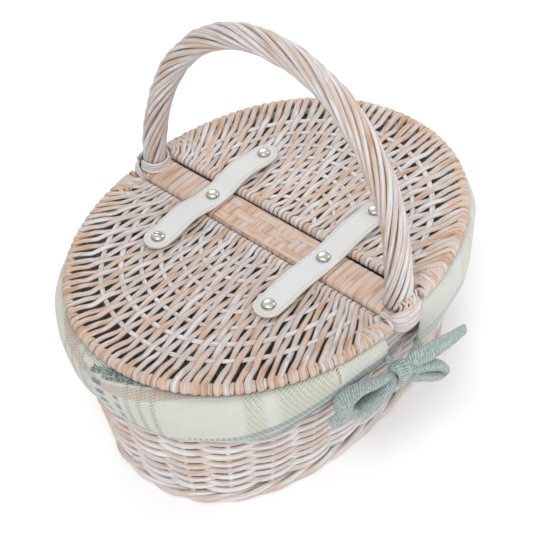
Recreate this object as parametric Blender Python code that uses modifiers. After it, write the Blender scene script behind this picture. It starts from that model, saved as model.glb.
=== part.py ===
"""A small oval wicker picnic basket: two hinged lids, a fixed arched handle and a cloth lining.

X runs along the basket from the front lid to the back lid, Y across it from handle foot to handle
foot, and Z up. The origin is on the ground under the middle of the base. Lengths below are in
millimetres and become metres where a mesh or a curve is made.
"""

import math

import bmesh
import bpy
from mathutils import Matrix, Vector

MM = 0.001
BASKET = "picnic_basket"
CUTTERS = "cutters"
CLEAR = 0.3  # gap kept between pieces that touch
SEGMENTS = 64  # sides of every oval ring

# Body: half length, half width and height of the outer wall, and the oval's squareness
WALL_BASE = (140.0, 93.0, 8.3)
WALL_TOP = (147.0, 115.0, 111.1)
WALL_THICK = 6.0
BODY_SQUARENESS = 2.3
FOOT_OUTER = (141.6, 94.5)
FOOT_WIDTH = 8.0
FOOT_HEIGHT = 8.0
BASE_PANEL = (132.6, 85.5)
BASE_PANEL_Z = (3.5, 8.5)
RIM_RADIUS = 4.0
RIM_Z = 116.7

# Lining: the cloth inside, folded over the rim, with its skirt hanging outside
CLOTH = 1.3
LINING_IN = 7.9  # from the wall's outer face to the cloth inside it
FOLD_Z = 122.2
SKIRT_EDGE = (149.2, 117.2)
SKIRT_BULGE = (151.4, 119.6, 112.0)
SKIRT_HEM = (150.4, 114.9, 84.0)
SLIT = (-24.0, 15.0)  # gap in the skirt at the near handle foot, along X

# Crossbar
BAR_TOP = 130.6
BAR_HALF_WIDTH = 13.0
BAR_THICK = 7.6
BAR_SKIN = 1.6
BAR_HALF_LENGTH = 117.5
WRAP_HALF_LENGTH = 99.0

# Lids
LID_SQUARENESS = 2.1
LID_HALF_LENGTH = 145.0
LID_HALF_WIDTH = 120.7
HOOP_RADIUS = 4.2
HINGE_ROD_RADIUS = 3.6
WEAVE_THICK = 6.4
LID_START = 13.8  # from the middle of the crossbar to the hinge edge of a lid
RIB_RADIUS = 1.4
RIB_SCALES = {"outer": 0.84, "middle": 0.69, "inner": 0.42}
LIDS = {"front": (-1, 126.8), "back": (1, 129.2)}  # side along X, height of the hoop's middle

# Leather straps and their rivets
STRAP_Y = 50.0
STRAP_WIDTH = 20.0
STRAP_THICK = 2.0
RIVET_X = 52.0
STRAP_END = 61.7
RIVET_HEAD = 4.8
RIVET_RISE = 2.6
SHANK_RADIUS = 1.5
HOLE_RADIUS = 1.9
WASHER_RADIUS = 4.5
WASHER_THICK = 1.0

# Handle: an ellipse-like arch on two legs that go down into the wall
ARCH_Z = 129.0
ARCH_HALF_SPAN = 109.2
ARCH_RISE = 133.9
ARCH_SQUARENESS = 2.1
HANDLE_X = 0.5
HANDLE_LEAN = math.radians(8.5)
CORE_RADIUS = 4.2
LEG_RADIUS = 2.3
LEG_DEPTH = 44.0
ROD_COUNT = 6
ROD_RADIUS = 2.0
ROD_OFFSET = 6.7
ROD_TURNS = -2.5  # turns from the far foot to the near one, counted from outwards towards the back lid
ROD_FROM_FOOT = 4.5
BINDING_INNER = 9.1
BINDING_OUTER = 12.0
BINDING_HEIGHT = 8.0
BINDING_Z = 138.6

# Bow of fabric tie at each handle foot, as drawn for the foot at -Y
KNOT = (-12.0, -129.5, 94.0)
KNOT_SIZE = (7.0, 5.5, 7.5)
LOOP_RADIUS = 3.8
TAIL_RADIUS = 3.4
BOW_RODS = {
    "front_loop": (
        LOOP_RADIUS,
        ((-21, -129, 99), (-34, -127, 106), (-50, -124, 107), (-62, -122, 101), (-66, -121, 92),
         (-58, -122, 84), (-44, -125, 83), (-31, -128, 87), (-22, -130, 90)),
    ),
    "back_loop": (
        LOOP_RADIUS,
        ((-3.5, -131, 92), (6, -132.5, 88), (16, -134, 80), (21, -134, 71), (15, -133, 66),
         (6, -132, 71), (-2, -131.5, 79), (-6.5, -131, 83)),
    ),
    "long_tail": (
        TAIL_RADIUS,
        ((-4, -131.5, 101), (6, -134, 100), (19, -136.5, 98), (31, -138.5, 96)),
    ),
    "short_tail": (
        TAIL_RADIUS,
        ((-24, -133.5, 82.5), (-36, -132, 75), (-50, -127.5, 73), (-61, -122, 74), (-70, -117.5, 77)),
    ),
}

COLOURS = {
    "willow": ((0.66, 0.53, 0.46), 0.75, 0.0),
    "willow_dark": ((0.56, 0.44, 0.37), 0.8, 0.0),
    "leather": ((0.86, 0.85, 0.81), 0.55, 0.0),
    "cloth": ((0.74, 0.76, 0.68), 0.95, 0.0),
    "tie_cloth": ((0.37, 0.49, 0.48), 0.95, 0.0),
    "nickel": ((0.78, 0.76, 0.72), 0.25, 1.0),
}


def clear_scene():
    for obj in list(bpy.data.objects):
        bpy.data.objects.remove(obj, do_unlink=True)


def collection(name):
    found = bpy.data.collections.get(name)
    if found is None:
        found = bpy.data.collections.new(name)
        bpy.context.scene.collection.children.link(found)
    return found


def material(node, look):
    colour, roughness, metallic = COLOURS[look]
    made = bpy.data.materials.new(node)
    made.use_nodes = True
    made.diffuse_color = (*colour, 1.0)
    shader = made.node_tree.nodes["Principled BSDF"]
    shader.inputs["Base Color"].default_value = (*colour, 1.0)
    shader.inputs["Roughness"].default_value = roughness
    shader.inputs["Metallic"].default_value = metallic
    return made


def add(name, data, look, smooth=False):
    """Link mesh or curve data as the named piece."""
    obj = bpy.data.objects.new(name, data)
    data.materials.append(material(name, look))
    if smooth:
        data.shade_smooth()
    collection(BASKET).objects.link(obj)
    return obj


def make_cutter(obj):
    for owner in list(obj.users_collection):
        owner.objects.unlink(obj)
    collection(CUTTERS).objects.link(obj)
    obj.hide_render = True
    obj.display_type = "WIRE"
    return obj


def cut(obj, cutter):
    subtract = obj.modifiers.new("cut_" + cutter.name, "BOOLEAN")
    subtract.object = cutter
    subtract.operation = "DIFFERENCE"
    subtract.solver = "EXACT"


def oval(half_x, half_y, squareness, angle):
    """Point of a superellipse at an angle in radians."""
    c, s = math.cos(angle), math.sin(angle)
    power = 2.0 / squareness
    return (
        half_x * math.copysign(abs(c) ** power, c),
        half_y * math.copysign(abs(s) ** power, s),
    )


def oval_surface(rings):
    """Open surface through ovals (half_x, half_y, z), extruded from a circle ring by ring."""
    bm = bmesh.new()
    bmesh.ops.create_circle(bm, segments=SEGMENTS, radius=1.0)
    edges = list(bm.edges)
    for _ in rings[1:]:
        grown = bmesh.ops.extrude_edge_only(bm, edges=edges)["geom"]
        verts = {item for item in grown if isinstance(item, bmesh.types.BMVert)}
        bmesh.ops.translate(bm, verts=list(verts), vec=(0, 0, 1))
        edges = [
            item for item in grown if isinstance(item, bmesh.types.BMEdge) and set(item.verts) <= verts
        ]
    for vert in bm.verts:
        half_x, half_y, z = rings[round(vert.co.z)]
        x, y = oval(half_x, half_y, BODY_SQUARENESS, math.atan2(vert.co.y, vert.co.x))
        vert.co = Vector((x, y, z)) * MM
    bmesh.ops.recalc_face_normals(bm, faces=bm.faces)
    first = min(bm.faces, key=lambda face: face.calc_center_median().z)
    outward = first.calc_center_median() * Vector((1, 1, 0))
    if first.normal.dot(outward) < 0:
        bmesh.ops.reverse_faces(bm, faces=bm.faces)
    mesh = bpy.data.meshes.new("oval_surface")
    bm.to_mesh(mesh)
    bm.free()
    return mesh


def oval_shell(name, rings, thick, look):
    """Shell through the ovals of its outer face, thickened inwards with Solidify."""
    obj = add(name, oval_surface(rings), look, smooth=True)
    solid = obj.modifiers.new("thickness", "SOLIDIFY")
    solid.thickness = thick * MM
    solid.offset = -1.0
    solid.use_even_offset = True
    return obj


def rod_curve(points, radius, radii=None, closed=False, detail=2):
    """Poly curve with a round bevel; detail 2 gives eight sides."""
    curve = bpy.data.curves.new("rod", "CURVE")
    curve.dimensions = "3D"
    curve.bevel_depth = radius * MM
    curve.bevel_resolution = detail
    curve.use_fill_caps = not closed
    spline = curve.splines.new("POLY")
    spline.points.add(len(points) - 1)
    spline.use_cyclic_u = closed
    for index, point in enumerate(points):
        spline.points[index].co = (*(Vector(point) * MM), 1.0)
        spline.points[index].radius = radii[index] / radius if radii else 1.0
    return curve


def rod(name, points, radius, look, **shape):
    return add(name, rod_curve(points, radius, **shape), look)


def plate_curve(outline, thick):
    """Flat outline as a filled 2D curve, extruded to its thickness about its own plane."""
    curve = bpy.data.curves.new("plate", "CURVE")
    curve.dimensions = "2D"
    curve.fill_mode = "BOTH"
    curve.extrude = thick / 2 * MM
    spline = curve.splines.new("POLY")
    spline.points.add(len(outline) - 1)
    spline.use_cyclic_u = True
    for point, (x, y) in zip(spline.points, outline):
        point.co = (x * MM, y * MM, 0.0, 1.0)
    return curve


def plate(name, outline, bottom, thick, look):
    obj = add(name, plate_curve(outline, thick), look)
    obj.location.z = (bottom + thick / 2) * MM
    return obj


def as_mesh(obj):
    """Replace a curve object by a welded mesh object with the same name, so that it takes a Boolean."""
    bpy.context.view_layer.update()
    source = obj.evaluated_get(bpy.context.evaluated_depsgraph_get())
    mesh = bpy.data.meshes.new_from_object(source)
    bm = bmesh.new()
    bm.from_mesh(mesh)
    bmesh.ops.remove_doubles(bm, verts=bm.verts, dist=0.00001)
    bmesh.ops.recalc_face_normals(bm, faces=bm.faces)
    bm.to_mesh(mesh)
    bm.free()
    name, place, owner = obj.name, obj.matrix_world.copy(), obj.users_collection[0]
    bpy.data.objects.remove(obj, do_unlink=True)
    made = bpy.data.objects.new(name, mesh)
    made.matrix_world = place
    owner.objects.link(made)
    return made


def cylinder_cutter(name, centre, radius, height, sides=16):
    mesh = bpy.data.meshes.new(name)
    bm = bmesh.new()
    bmesh.ops.create_cone(
        bm, cap_ends=True, segments=sides, radius1=radius * MM, radius2=radius * MM, depth=height * MM
    )
    bm.to_mesh(mesh)
    bm.free()
    obj = bpy.data.objects.new(name, mesh)
    obj.location = Vector(centre) * MM
    collection(BASKET).objects.link(obj)
    return make_cutter(obj)


def box_cutter(name, low, high):
    mesh = bpy.data.meshes.new(name)
    bm = bmesh.new()
    bmesh.ops.create_cube(bm, size=1.0)
    size = (Vector(high) - Vector(low)) * MM
    bmesh.ops.scale(bm, verts=bm.verts, vec=size)
    bm.to_mesh(mesh)
    bm.free()
    obj = bpy.data.objects.new(name, mesh)
    obj.location = (Vector(low) + Vector(high)) / 2 * MM
    collection(BASKET).objects.link(obj)
    return make_cutter(obj)


def wall_at(z, inset=0.0):
    """Half length and half width of the wall's outer face at a height, moved in by inset."""
    share = (z - WALL_BASE[2]) / (WALL_TOP[2] - WALL_BASE[2])
    return tuple(low + (high - low) * share - inset for low, high in zip(WALL_BASE[:2], WALL_TOP[:2]))


def wall_ring(z, inset=0.0):
    return (*wall_at(z, inset), z)


def oval_outline(half_x, half_y, squareness, count=SEGMENTS):
    return [oval(half_x, half_y, squareness, 2 * math.pi * i / count) for i in range(count)]


# Handle ------------------------------------------------------------------------------------------


def arch_point(angle):
    """Middle line of the arch: angle 0 is the foot at +Y, pi is the foot at -Y."""
    y, rise = oval(ARCH_HALF_SPAN, ARCH_RISE, ARCH_SQUARENESS, angle)
    return Vector((HANDLE_X + rise * math.tan(HANDLE_LEAN), y, ARCH_Z + rise))


def arch_samples(count=400):
    """Points of the arch with the distance along it."""
    points = [arch_point(math.pi * i / count) for i in range(count + 1)]
    distance = [0.0]
    for a, b in zip(points, points[1:]):
        distance.append(distance[-1] + (b - a).length)
    return points, distance


def along_arch(points, distance, at):
    """Point and direction at a distance along the sampled arch."""
    index = max(i for i, d in enumerate(distance[:-1]) if d <= at)
    share = (at - distance[index]) / (distance[index + 1] - distance[index])
    step = points[index + 1] - points[index]
    return points[index] + step * share, step.normalized()


def leg_points(side):
    """Leg of the handle's core from the arch's foot down the middle of the wall, top first."""
    inset = WALL_THICK / 2
    top = wall_at(WALL_TOP[2], inset)[1]
    low_z = WALL_TOP[2] - LEG_DEPTH
    low = wall_at(low_z, inset)[1]
    return [
        Vector((HANDLE_X, side * (ARCH_HALF_SPAN + 0.6), 125.5)),
        Vector((HANDLE_X, side * top, RIM_Z + RIM_RADIUS + 0.6)),
        Vector((HANDLE_X, side * top, WALL_TOP[2])),
        Vector((HANDLE_X, side * low, low_z)),
    ]


def build_handle():
    points, distance = arch_samples()
    length = distance[-1]
    count = 44
    arch = [along_arch(points, distance, length * i / count)[0] for i in range(count + 1)]
    legs = {side: leg_points(side) for side in (1, -1)}
    line = legs[1][::-1] + arch + legs[-1]
    leg_radii = [LEG_RADIUS, LEG_RADIUS, LEG_RADIUS, 3.2]
    radii = leg_radii + [CORE_RADIUS] * len(arch) + leg_radii[::-1]
    rod("handle_core", line, CORE_RADIUS, "willow_dark", radii=radii)

    across = Vector((math.cos(HANDLE_LEAN), 0.0, -math.sin(HANDLE_LEAN)))
    start, end = ROD_FROM_FOOT, length - ROD_FROM_FOOT
    steps = 36
    for number in range(ROD_COUNT):
        helix = []
        for i in range(steps + 1):
            centre, along = along_arch(points, distance, start + (end - start) * i / steps)
            out = along.cross(across).normalized()
            turn = 2 * math.pi * (number / ROD_COUNT + ROD_TURNS * i / steps)
            helix.append(centre + (out * math.cos(turn) + across * math.sin(turn)) * ROD_OFFSET)
        rod(f"handle_rod_{number + 1}", helix, ROD_RADIUS, "willow", detail=1)


def build_binding(name, side):
    """Band of skein bound round one handle foot."""
    rise = BINDING_Z - ARCH_Z
    mesh = bpy.data.meshes.new(name)
    bm = bmesh.new()
    bmesh.ops.create_cone(
        bm, cap_ends=False, segments=24, radius1=BINDING_OUTER * MM, radius2=BINDING_OUTER * MM,
        depth=BINDING_HEIGHT * MM,
    )
    bm.to_mesh(mesh)
    bm.free()
    obj = add(name, mesh, "willow", smooth=True)
    obj.location = Vector((HANDLE_X + rise * math.tan(HANDLE_LEAN), side * (ARCH_HALF_SPAN - 0.3), BINDING_Z)) * MM
    obj.rotation_euler.y = HANDLE_LEAN
    solid = obj.modifiers.new("thickness", "SOLIDIFY")
    solid.thickness = (BINDING_OUTER - BINDING_INNER) * MM
    solid.offset = -1.0


# Body --------------------------------------------------------------------------------------------


def leg_cutter(name, side, extra):
    """Hole for one handle leg through the rim and down into the wall."""
    points = [
        Vector((HANDLE_X, side * wall_at(WALL_TOP[2], WALL_THICK / 2)[1], RIM_Z + 3 * RIM_RADIUS)),
        *leg_points(side)[2:],
    ]
    points[-1] += (points[-1] - points[-2]).normalized() * 1.0
    cutter = rod(name, points, LEG_RADIUS + extra, "willow")
    return make_cutter(as_mesh(cutter))


def build_body():
    foot = [(*FOOT_OUTER, 0.0), (*FOOT_OUTER, FOOT_HEIGHT)]
    border = oval_shell("foot_border", foot, FOOT_WIDTH, "willow_dark")
    edge = border.modifiers.new("rounding", "BEVEL")
    edge.width = 2.0 * MM
    edge.segments = 1
    edge.limit_method = "ANGLE"

    outline = oval_outline(*BASE_PANEL, BODY_SQUARENESS)
    plate("base_panel", outline, BASE_PANEL_Z[0], BASE_PANEL_Z[1] - BASE_PANEL_Z[0], "willow_dark")

    middle_z = (WALL_BASE[2] + WALL_TOP[2]) / 2
    wall = oval_shell("basket_wall", [WALL_BASE, wall_ring(middle_z), WALL_TOP], WALL_THICK, "willow")
    half_x, half_y = wall_at(WALL_TOP[2], WALL_THICK / 2)
    rim_line = [(x, y, RIM_Z) for x, y in oval_outline(half_x, half_y, BODY_SQUARENESS)]
    rim = as_mesh(rod("rim_border", rim_line, RIM_RADIUS, "willow", closed=True))
    for label, side in (("near", -1), ("far", 1)):
        cutter = leg_cutter(f"leg_hole_{label}", side, CLEAR)
        cut(wall, cutter)
        cut(rim, cutter)


def build_lining():
    floor_z = BASE_PANEL_Z[1] + CLEAR
    outline = oval_outline(*wall_at(floor_z + CLOTH, LINING_IN + CLOTH + 3.0), BODY_SQUARENESS)
    plate("lining_floor", outline, floor_z, CLOTH, "cloth")

    fold_low = FOLD_Z - CLOTH
    inside = [
        wall_ring(floor_z + CLEAR, LINING_IN),
        wall_ring(WALL_TOP[2], LINING_IN),
        (*wall_at(WALL_TOP[2], LINING_IN), fold_low),
        (SKIRT_EDGE[0] - 3.0, SKIRT_EDGE[1] - 3.0, fold_low),
    ]
    side = oval_shell("lining_side", inside, CLOTH, "cloth")
    skirt = [
        (*SKIRT_EDGE, FOLD_Z - 0.4),
        SKIRT_BULGE,
        SKIRT_HEM,
    ]
    low, high = 60.0, 140.0
    near = box_cutter("slit_near", (SLIT[0], -180.0, low), (SLIT[1], -60.0, high))
    far = box_cutter("slit_far", (-SLIT[1], 60.0, low), (-SLIT[0], 180.0, high))
    halves = {
        "front": box_cutter("skirt_front_only", (0.0, -200.0, low), (200.0, 200.0, high)),
        "back": box_cutter("skirt_back_only", (-200.0, -200.0, low), (0.0, 200.0, high)),
    }
    for label, other in halves.items():
        half = oval_shell(f"lining_skirt_{label}", skirt, CLOTH, "cloth")
        cut(half, other)
        cut(half, near)
        cut(half, far)
    for label, sign in (("near", -1), ("far", 1)):
        low_y, high_y = sorted((sign * 106.0, sign * 140.0))
        notch = box_cutter(f"fold_notch_{label}", (-11.0, low_y, FOLD_Z - 4.0), (12.0, high_y, high))
        cut(side, notch)


# Lids and crossbar -------------------------------------------------------------------------------


def drill(obj, x, y, z, radius, height):
    name = f"hole_{obj.name}_{'near' if y < 0 else 'far'}"
    cut(obj, cylinder_cutter(name, (x, y, z), radius, height))


def build_crossbar():
    middle = BAR_TOP - BAR_THICK / 2
    core_half = BAR_HALF_WIDTH - BAR_SKIN - CLEAR
    core_thick = BAR_THICK - 2 * (BAR_SKIN + CLEAR)
    outline = [
        (-core_half, -BAR_HALF_LENGTH), (core_half, -BAR_HALF_LENGTH),
        (core_half, BAR_HALF_LENGTH), (-core_half, BAR_HALF_LENGTH),
    ]
    core = as_mesh(plate("crossbar_core", outline, middle - core_thick / 2, core_thick, "willow_dark"))
    for y in (-ARCH_HALF_SPAN, ARCH_HALF_SPAN):
        name = f"handle_hole_{'near' if y < 0 else 'far'}"
        cut(core, cylinder_cutter(name, (HANDLE_X, y, middle), CORE_RADIUS + 1.1, 3 * BAR_THICK))

    mesh = bpy.data.meshes.new("crossbar_wrap")
    bm = bmesh.new()
    bmesh.ops.create_cube(bm, size=1.0)
    ends = [face for face in bm.faces if abs(face.normal.y) > 0.5]
    bmesh.ops.delete(bm, geom=ends, context="FACES_ONLY")
    bmesh.ops.scale(
        bm, verts=bm.verts, vec=(2 * BAR_HALF_WIDTH * MM, 2 * WRAP_HALF_LENGTH * MM, BAR_THICK * MM)
    )
    bm.to_mesh(mesh)
    bm.free()
    wrap = add("crossbar_wrap", mesh, "willow")
    wrap.location.z = middle * MM
    skin = wrap.modifiers.new("thickness", "SOLIDIFY")
    skin.thickness = BAR_SKIN * MM
    skin.offset = -1.0
    skin.use_even_offset = True
    for y in (-STRAP_Y, STRAP_Y):
        drill(core, 0.0, y, middle, HOLE_RADIUS, 3 * BAR_THICK)
        drill(wrap, 0.0, y, middle, HOLE_RADIUS, 3 * BAR_THICK)


def lid_arc(side, scale, from_x, count):
    """Points of the D's round edge, scaled about the basket's middle, between its two ends."""
    half_x = (LID_HALF_LENGTH - HOOP_RADIUS) * scale
    half_y = (LID_HALF_WIDTH - HOOP_RADIUS) * scale
    first = math.acos((from_x / half_x) ** (LID_SQUARENESS / 2))
    points = []
    for i in range(count + 1):
        x, y = oval(half_x, half_y, LID_SQUARENESS, -first + 2 * first * i / count)
        points.append((side * x, side * y))
    return points


def build_lid(lid, side, hoop_z):
    hoop = [(x, y, hoop_z) for x, y in lid_arc(side, 1.0, LID_START + 0.7, 40)]
    rod(f"{lid}_lid_hoop", hoop, HOOP_RADIUS, "willow")

    rod_x = side * (LID_START + HINGE_ROD_RADIUS)
    reach = abs(hoop[0][1]) - HOOP_RADIUS - 0.8
    ends = [(rod_x, -reach, hoop_z), (rod_x, reach, hoop_z)]
    rod(f"{lid}_lid_hinge_rod", ends, HINGE_ROD_RADIUS, "willow")

    edge = LID_START + 2 * HINGE_ROD_RADIUS + CLEAR
    inner = 1.0 - (HOOP_RADIUS + CLEAR + 0.2) / (LID_HALF_WIDTH - HOOP_RADIUS)
    outline = lid_arc(side, inner, edge, 40)
    weave_low = hoop_z - WEAVE_THICK / 2
    weave = as_mesh(plate(f"{lid}_lid_weave", outline, weave_low, WEAVE_THICK, "willow"))
    rib_z = weave_low + RIB_RADIUS + 0.1
    for label, scale in RIB_SCALES.items():
        rib = [(x, y, rib_z) for x, y in lid_arc(side, scale, edge + 0.6, 24)]
        rod(f"{lid}_lid_rib_{label}", rib, RIB_RADIUS, "willow_dark", detail=1)
        past = side * (edge - 2.5)
        groove = [(past, rib[0][1], rib_z), *rib, (past, rib[-1][1], rib_z)]
        cutter = rod(f"groove_{lid}_{label}", groove, RIB_RADIUS + 0.45, "willow", detail=1)
        cut(weave, make_cutter(as_mesh(cutter)))

    strap_low = hoop_z + HINGE_ROD_RADIUS + CLEAR
    for label, y in (("near", -STRAP_Y), ("far", STRAP_Y)):
        cutter = cylinder_cutter(
            f"hole_{lid}_weave_{label}", (side * RIVET_X, y, hoop_z), HOLE_RADIUS, 3 * WEAVE_THICK
        )
        cut(weave, cutter)
        build_strap_end(f"strap_{label}_{lid}", side, y, strap_low)
        build_rivet(f"rivet_{label}_{lid}", side * RIVET_X, y, strap_low + STRAP_THICK, weave_low)


def rounded_end(side, y):
    """Outline of a strap's end section: square at the fold, round past the rivet."""
    half = STRAP_WIDTH / 2
    centre = STRAP_END - half
    outline = [(side * LID_START, y + side * half), (side * LID_START, y - side * half)]
    for i in range(13):
        angle = -math.pi / 2 + math.pi * i / 12
        outline.append((side * (centre + half * math.cos(angle)), y + side * half * math.sin(angle)))
    return outline


def build_strap_end(name, side, y, bottom):
    strap = as_mesh(plate(name, rounded_end(side, y), bottom, STRAP_THICK, "leather"))
    drill(strap, side * RIVET_X, y, bottom, HOLE_RADIUS, 4 * STRAP_THICK)


def build_strap_middle(name, y, bottom):
    half_x, half_y = BAR_HALF_WIDTH + 0.2, STRAP_WIDTH / 2
    outline = [(-half_x, y - half_y), (half_x, y - half_y), (half_x, y + half_y), (-half_x, y + half_y)]
    strap = as_mesh(plate(name, outline, bottom, STRAP_THICK, "leather"))
    drill(strap, 0.0, y, bottom, HOLE_RADIUS, 4 * STRAP_THICK)


def build_rivet(name, x, y, strap_top, weave_low):
    """Domed head and shank as one turned piece, and the washer that it is set over below."""
    head = strap_top + CLEAR
    end = weave_low - CLEAR - WASHER_THICK
    steps = 5
    profile = []
    for i in range(steps):
        angle = math.pi / 2 * i / steps
        radius = max(RIVET_HEAD * math.sin(angle), 0.0)
        profile.append((radius, head + RIVET_RISE * math.cos(angle)))
    profile += [(RIVET_HEAD, head + 0.5), (RIVET_HEAD, head), (SHANK_RADIUS, head), (SHANK_RADIUS, end), (0.0, end)]
    turned(name, profile, (x, y), "nickel", 16)

    washer = [
        (WASHER_RADIUS, end + WASHER_THICK), (WASHER_RADIUS, end),
        (HOLE_RADIUS, end), (HOLE_RADIUS, end + WASHER_THICK),
    ]
    turned(name.replace("rivet", "washer"), washer, (x, y), "nickel", 16, closed=True)


def turned(name, profile, centre, look, sides, closed=False):
    """Profile of (radius, z) turned about a vertical axis with a Screw modifier."""
    mesh = bpy.data.meshes.new(name)
    bm = bmesh.new()
    verts = [bm.verts.new((radius * MM, 0.0, z * MM)) for radius, z in profile]
    pairs = list(zip(verts, verts[1:]))
    if closed:
        pairs.append((verts[-1], verts[0]))
    for a, b in pairs:
        bm.edges.new((a, b))
    bm.to_mesh(mesh)
    bm.free()
    obj = add(name, mesh, look)
    obj.location = (centre[0] * MM, centre[1] * MM, 0.0)
    screw = obj.modifiers.new("turn", "SCREW")
    screw.axis = "Z"
    screw.steps = sides
    screw.render_steps = sides
    screw.use_merge_vertices = True
    screw.merge_threshold = 0.00001
    screw.use_smooth_shade = True
    return obj


# Bows --------------------------------------------------------------------------------------------


def smooth_line(points, steps=3):
    """Catmull-Rom line through the points of a route."""
    route = [Vector(p) for p in points]
    padded = [2 * route[0] - route[1], *route, 2 * route[-1] - route[-2]]
    line = []
    for a, b, c, d in zip(padded, padded[1:], padded[2:], padded[3:]):
        for i in range(steps):
            t = i / steps
            line.append(
                0.5 * (2 * b + (c - a) * t + (2 * a - 5 * b + 4 * c - d) * t**2 + (3 * b - a - 3 * c + d) * t**3)
            )
    line.append(route[-1])
    return line


def build_bow(label, turn):
    """Knot, two loops and two tails; the far bow is the near one turned half round."""
    mesh = bpy.data.meshes.new("knot")
    bm = bmesh.new()
    bmesh.ops.create_uvsphere(bm, u_segments=12, v_segments=8, radius=1.0)
    bmesh.ops.scale(bm, verts=bm.verts, vec=Vector(KNOT_SIZE) * MM)
    bmesh.ops.translate(bm, verts=bm.verts, vec=Vector(KNOT) * MM)
    bmesh.ops.transform(bm, verts=bm.verts, matrix=turn)
    bm.to_mesh(mesh)
    bm.free()
    add(f"bow_{label}_knot", mesh, "tie_cloth", smooth=True)
    for part, (radius, route) in BOW_RODS.items():
        line = [turn @ point for point in smooth_line(route)]
        rod(f"bow_{label}_{part}", line, radius, "tie_cloth", detail=1)


def main():
    clear_scene()
    build_body()
    build_lining()
    build_crossbar()
    build_handle()
    build_binding("handle_binding_near", -1)
    build_binding("handle_binding_far", 1)
    for lid, (side, hoop_z) in LIDS.items():
        build_lid(lid, side, hoop_z)
    for label, y in (("near", -STRAP_Y), ("far", STRAP_Y)):
        build_strap_middle(f"strap_{label}_middle", y, BAR_TOP + CLEAR)
        build_rivet(f"rivet_{label}_middle", 0.0, y, BAR_TOP + CLEAR + STRAP_THICK, BAR_TOP - BAR_THICK)
    build_bow("near", Matrix.Identity(4))
    build_bow("far", Matrix.Rotation(math.pi, 4, "Z"))


main()
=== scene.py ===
"""Looks of the wicker picnic basket: whitewashed willow weave, plaid lining, leather and nickel.

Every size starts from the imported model's boxes. Lengths here are in millimetres and become metres
where a mesh is made. X runs from the front lid to the back lid, Y across from the near handle foot
to the far one, and Z up. "Near" is -Y and "far" is +Y.
"""

import math

import bmesh
import bpy
import numpy as np
from mathutils import Matrix, Vector


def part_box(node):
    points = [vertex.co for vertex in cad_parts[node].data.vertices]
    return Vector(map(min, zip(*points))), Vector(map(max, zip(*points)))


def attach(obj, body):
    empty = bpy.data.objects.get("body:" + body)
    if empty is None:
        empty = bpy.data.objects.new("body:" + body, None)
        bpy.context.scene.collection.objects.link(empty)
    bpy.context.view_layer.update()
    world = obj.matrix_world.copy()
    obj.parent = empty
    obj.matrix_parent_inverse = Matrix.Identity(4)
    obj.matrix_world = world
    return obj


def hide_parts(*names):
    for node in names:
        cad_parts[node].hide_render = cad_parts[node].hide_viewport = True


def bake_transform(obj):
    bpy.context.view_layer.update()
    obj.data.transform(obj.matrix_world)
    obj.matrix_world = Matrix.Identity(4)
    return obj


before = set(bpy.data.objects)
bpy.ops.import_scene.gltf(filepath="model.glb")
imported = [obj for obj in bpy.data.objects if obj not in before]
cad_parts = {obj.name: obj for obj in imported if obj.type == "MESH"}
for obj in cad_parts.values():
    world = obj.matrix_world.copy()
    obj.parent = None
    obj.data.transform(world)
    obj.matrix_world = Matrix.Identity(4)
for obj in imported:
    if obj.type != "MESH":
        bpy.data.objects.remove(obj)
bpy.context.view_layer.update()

MM = 0.001
FULL_TURN = 2 * math.pi
UP = np.array([0.0, 0.0, 1.0])
SIDES = {"near": -1, "far": 1}
BODY_SQUARENESS = 2.3  # exponent of the body's oval
LID_SQUARENESS = 2.1

# Willow, in millimetres
WALL_ROD = 1.95  # radius of a wall weaver
WALL_ROW = 4.3  # height of one row of weaving
STAKE_COUNT = 27  # odd, so that neighbouring rows pass a stake on opposite sides
STAKE_RADIUS = 2.1
STAKE_DEPTH = 3.6  # from the wall's outer face to the middle of a stake
STRAND_WIDTHS = {"front": 4.2, "back": 4.7}  # a lid weaver near the hoop, slightly flat
HINGE_WIDTH = 3.5  # the same weaver at the hinge rod
STRAND_THICK = 2.0
BACK_LID_EXTRA = 4.5  # the back lid overhangs its end of the basket by this much more
LID_PAIRS = 29  # weavers turn round the hoop in pairs
HOOP_MARGIN = 5.0  # bare hoop beyond the first and the last pair
RIB_SCALES = (0.84, 0.74, 0.64, 0.54, 0.44, 0.34, 0.24)
RIB_STEP = 0.1
RIB_WIDTH = 3.7
RIB_THICK = 1.8
WEAVE_DEPTH = 1.15  # how far a lid weaver rises over a rib
HANDLE_STRANDS = 12
INNER_STRANDS = 8  # a second layer that shows in the grooves
HANDLE_TURNS = -2.5  # from the far foot to the near one

CLOTH = 1.0  # thickness of the lining's cloth

# Leather strap
STRAP_WIDTH = 20.0
STRAP_THICK = 2.0
STRAP_Y = 50.0
RIVET_X = 52.0
STRAP_HUMPS = {"near": 1.3, "far": 3.2}  # how far a strap arches up between its rivets


# Frame measures --------------------------------------------------------------------------------


def node_box(name):
    """Low and high corner of a CAD node in millimetres."""
    low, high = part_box(name)
    return np.array(low) / MM, np.array(high) / MM


FOOT_HIGH = node_box("foot_border")[1]
WALL_HIGH = node_box("basket_wall")[1]
BASE_LOW, BASE_HIGH = node_box("base_panel")
RIM_LOW = node_box("rim_border")[0]
BAR_LOW, BAR_HIGH = node_box("crossbar_wrap")
SKIRT_LOW, SKIRT_HIGH = node_box("lining_skirt_front")
WALL_BASE = (FOOT_HIGH[0] - 1.6, FOOT_HIGH[1] - 1.5)
RIM_GIRTH = 861.0  # once round the skirt


# Mesh building ---------------------------------------------------------------------------------


def unit(vectors):
    vectors = np.asarray(vectors, float)
    return vectors / np.maximum(np.linalg.norm(vectors, axis=-1, keepdims=True), 1e-9)


def smooth(value):
    value = np.clip(value, 0.0, 1.0)
    return value * value * (3 - 2 * value)


def signed_power(value, power):
    return np.sign(value) * np.abs(value) ** power


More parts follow.
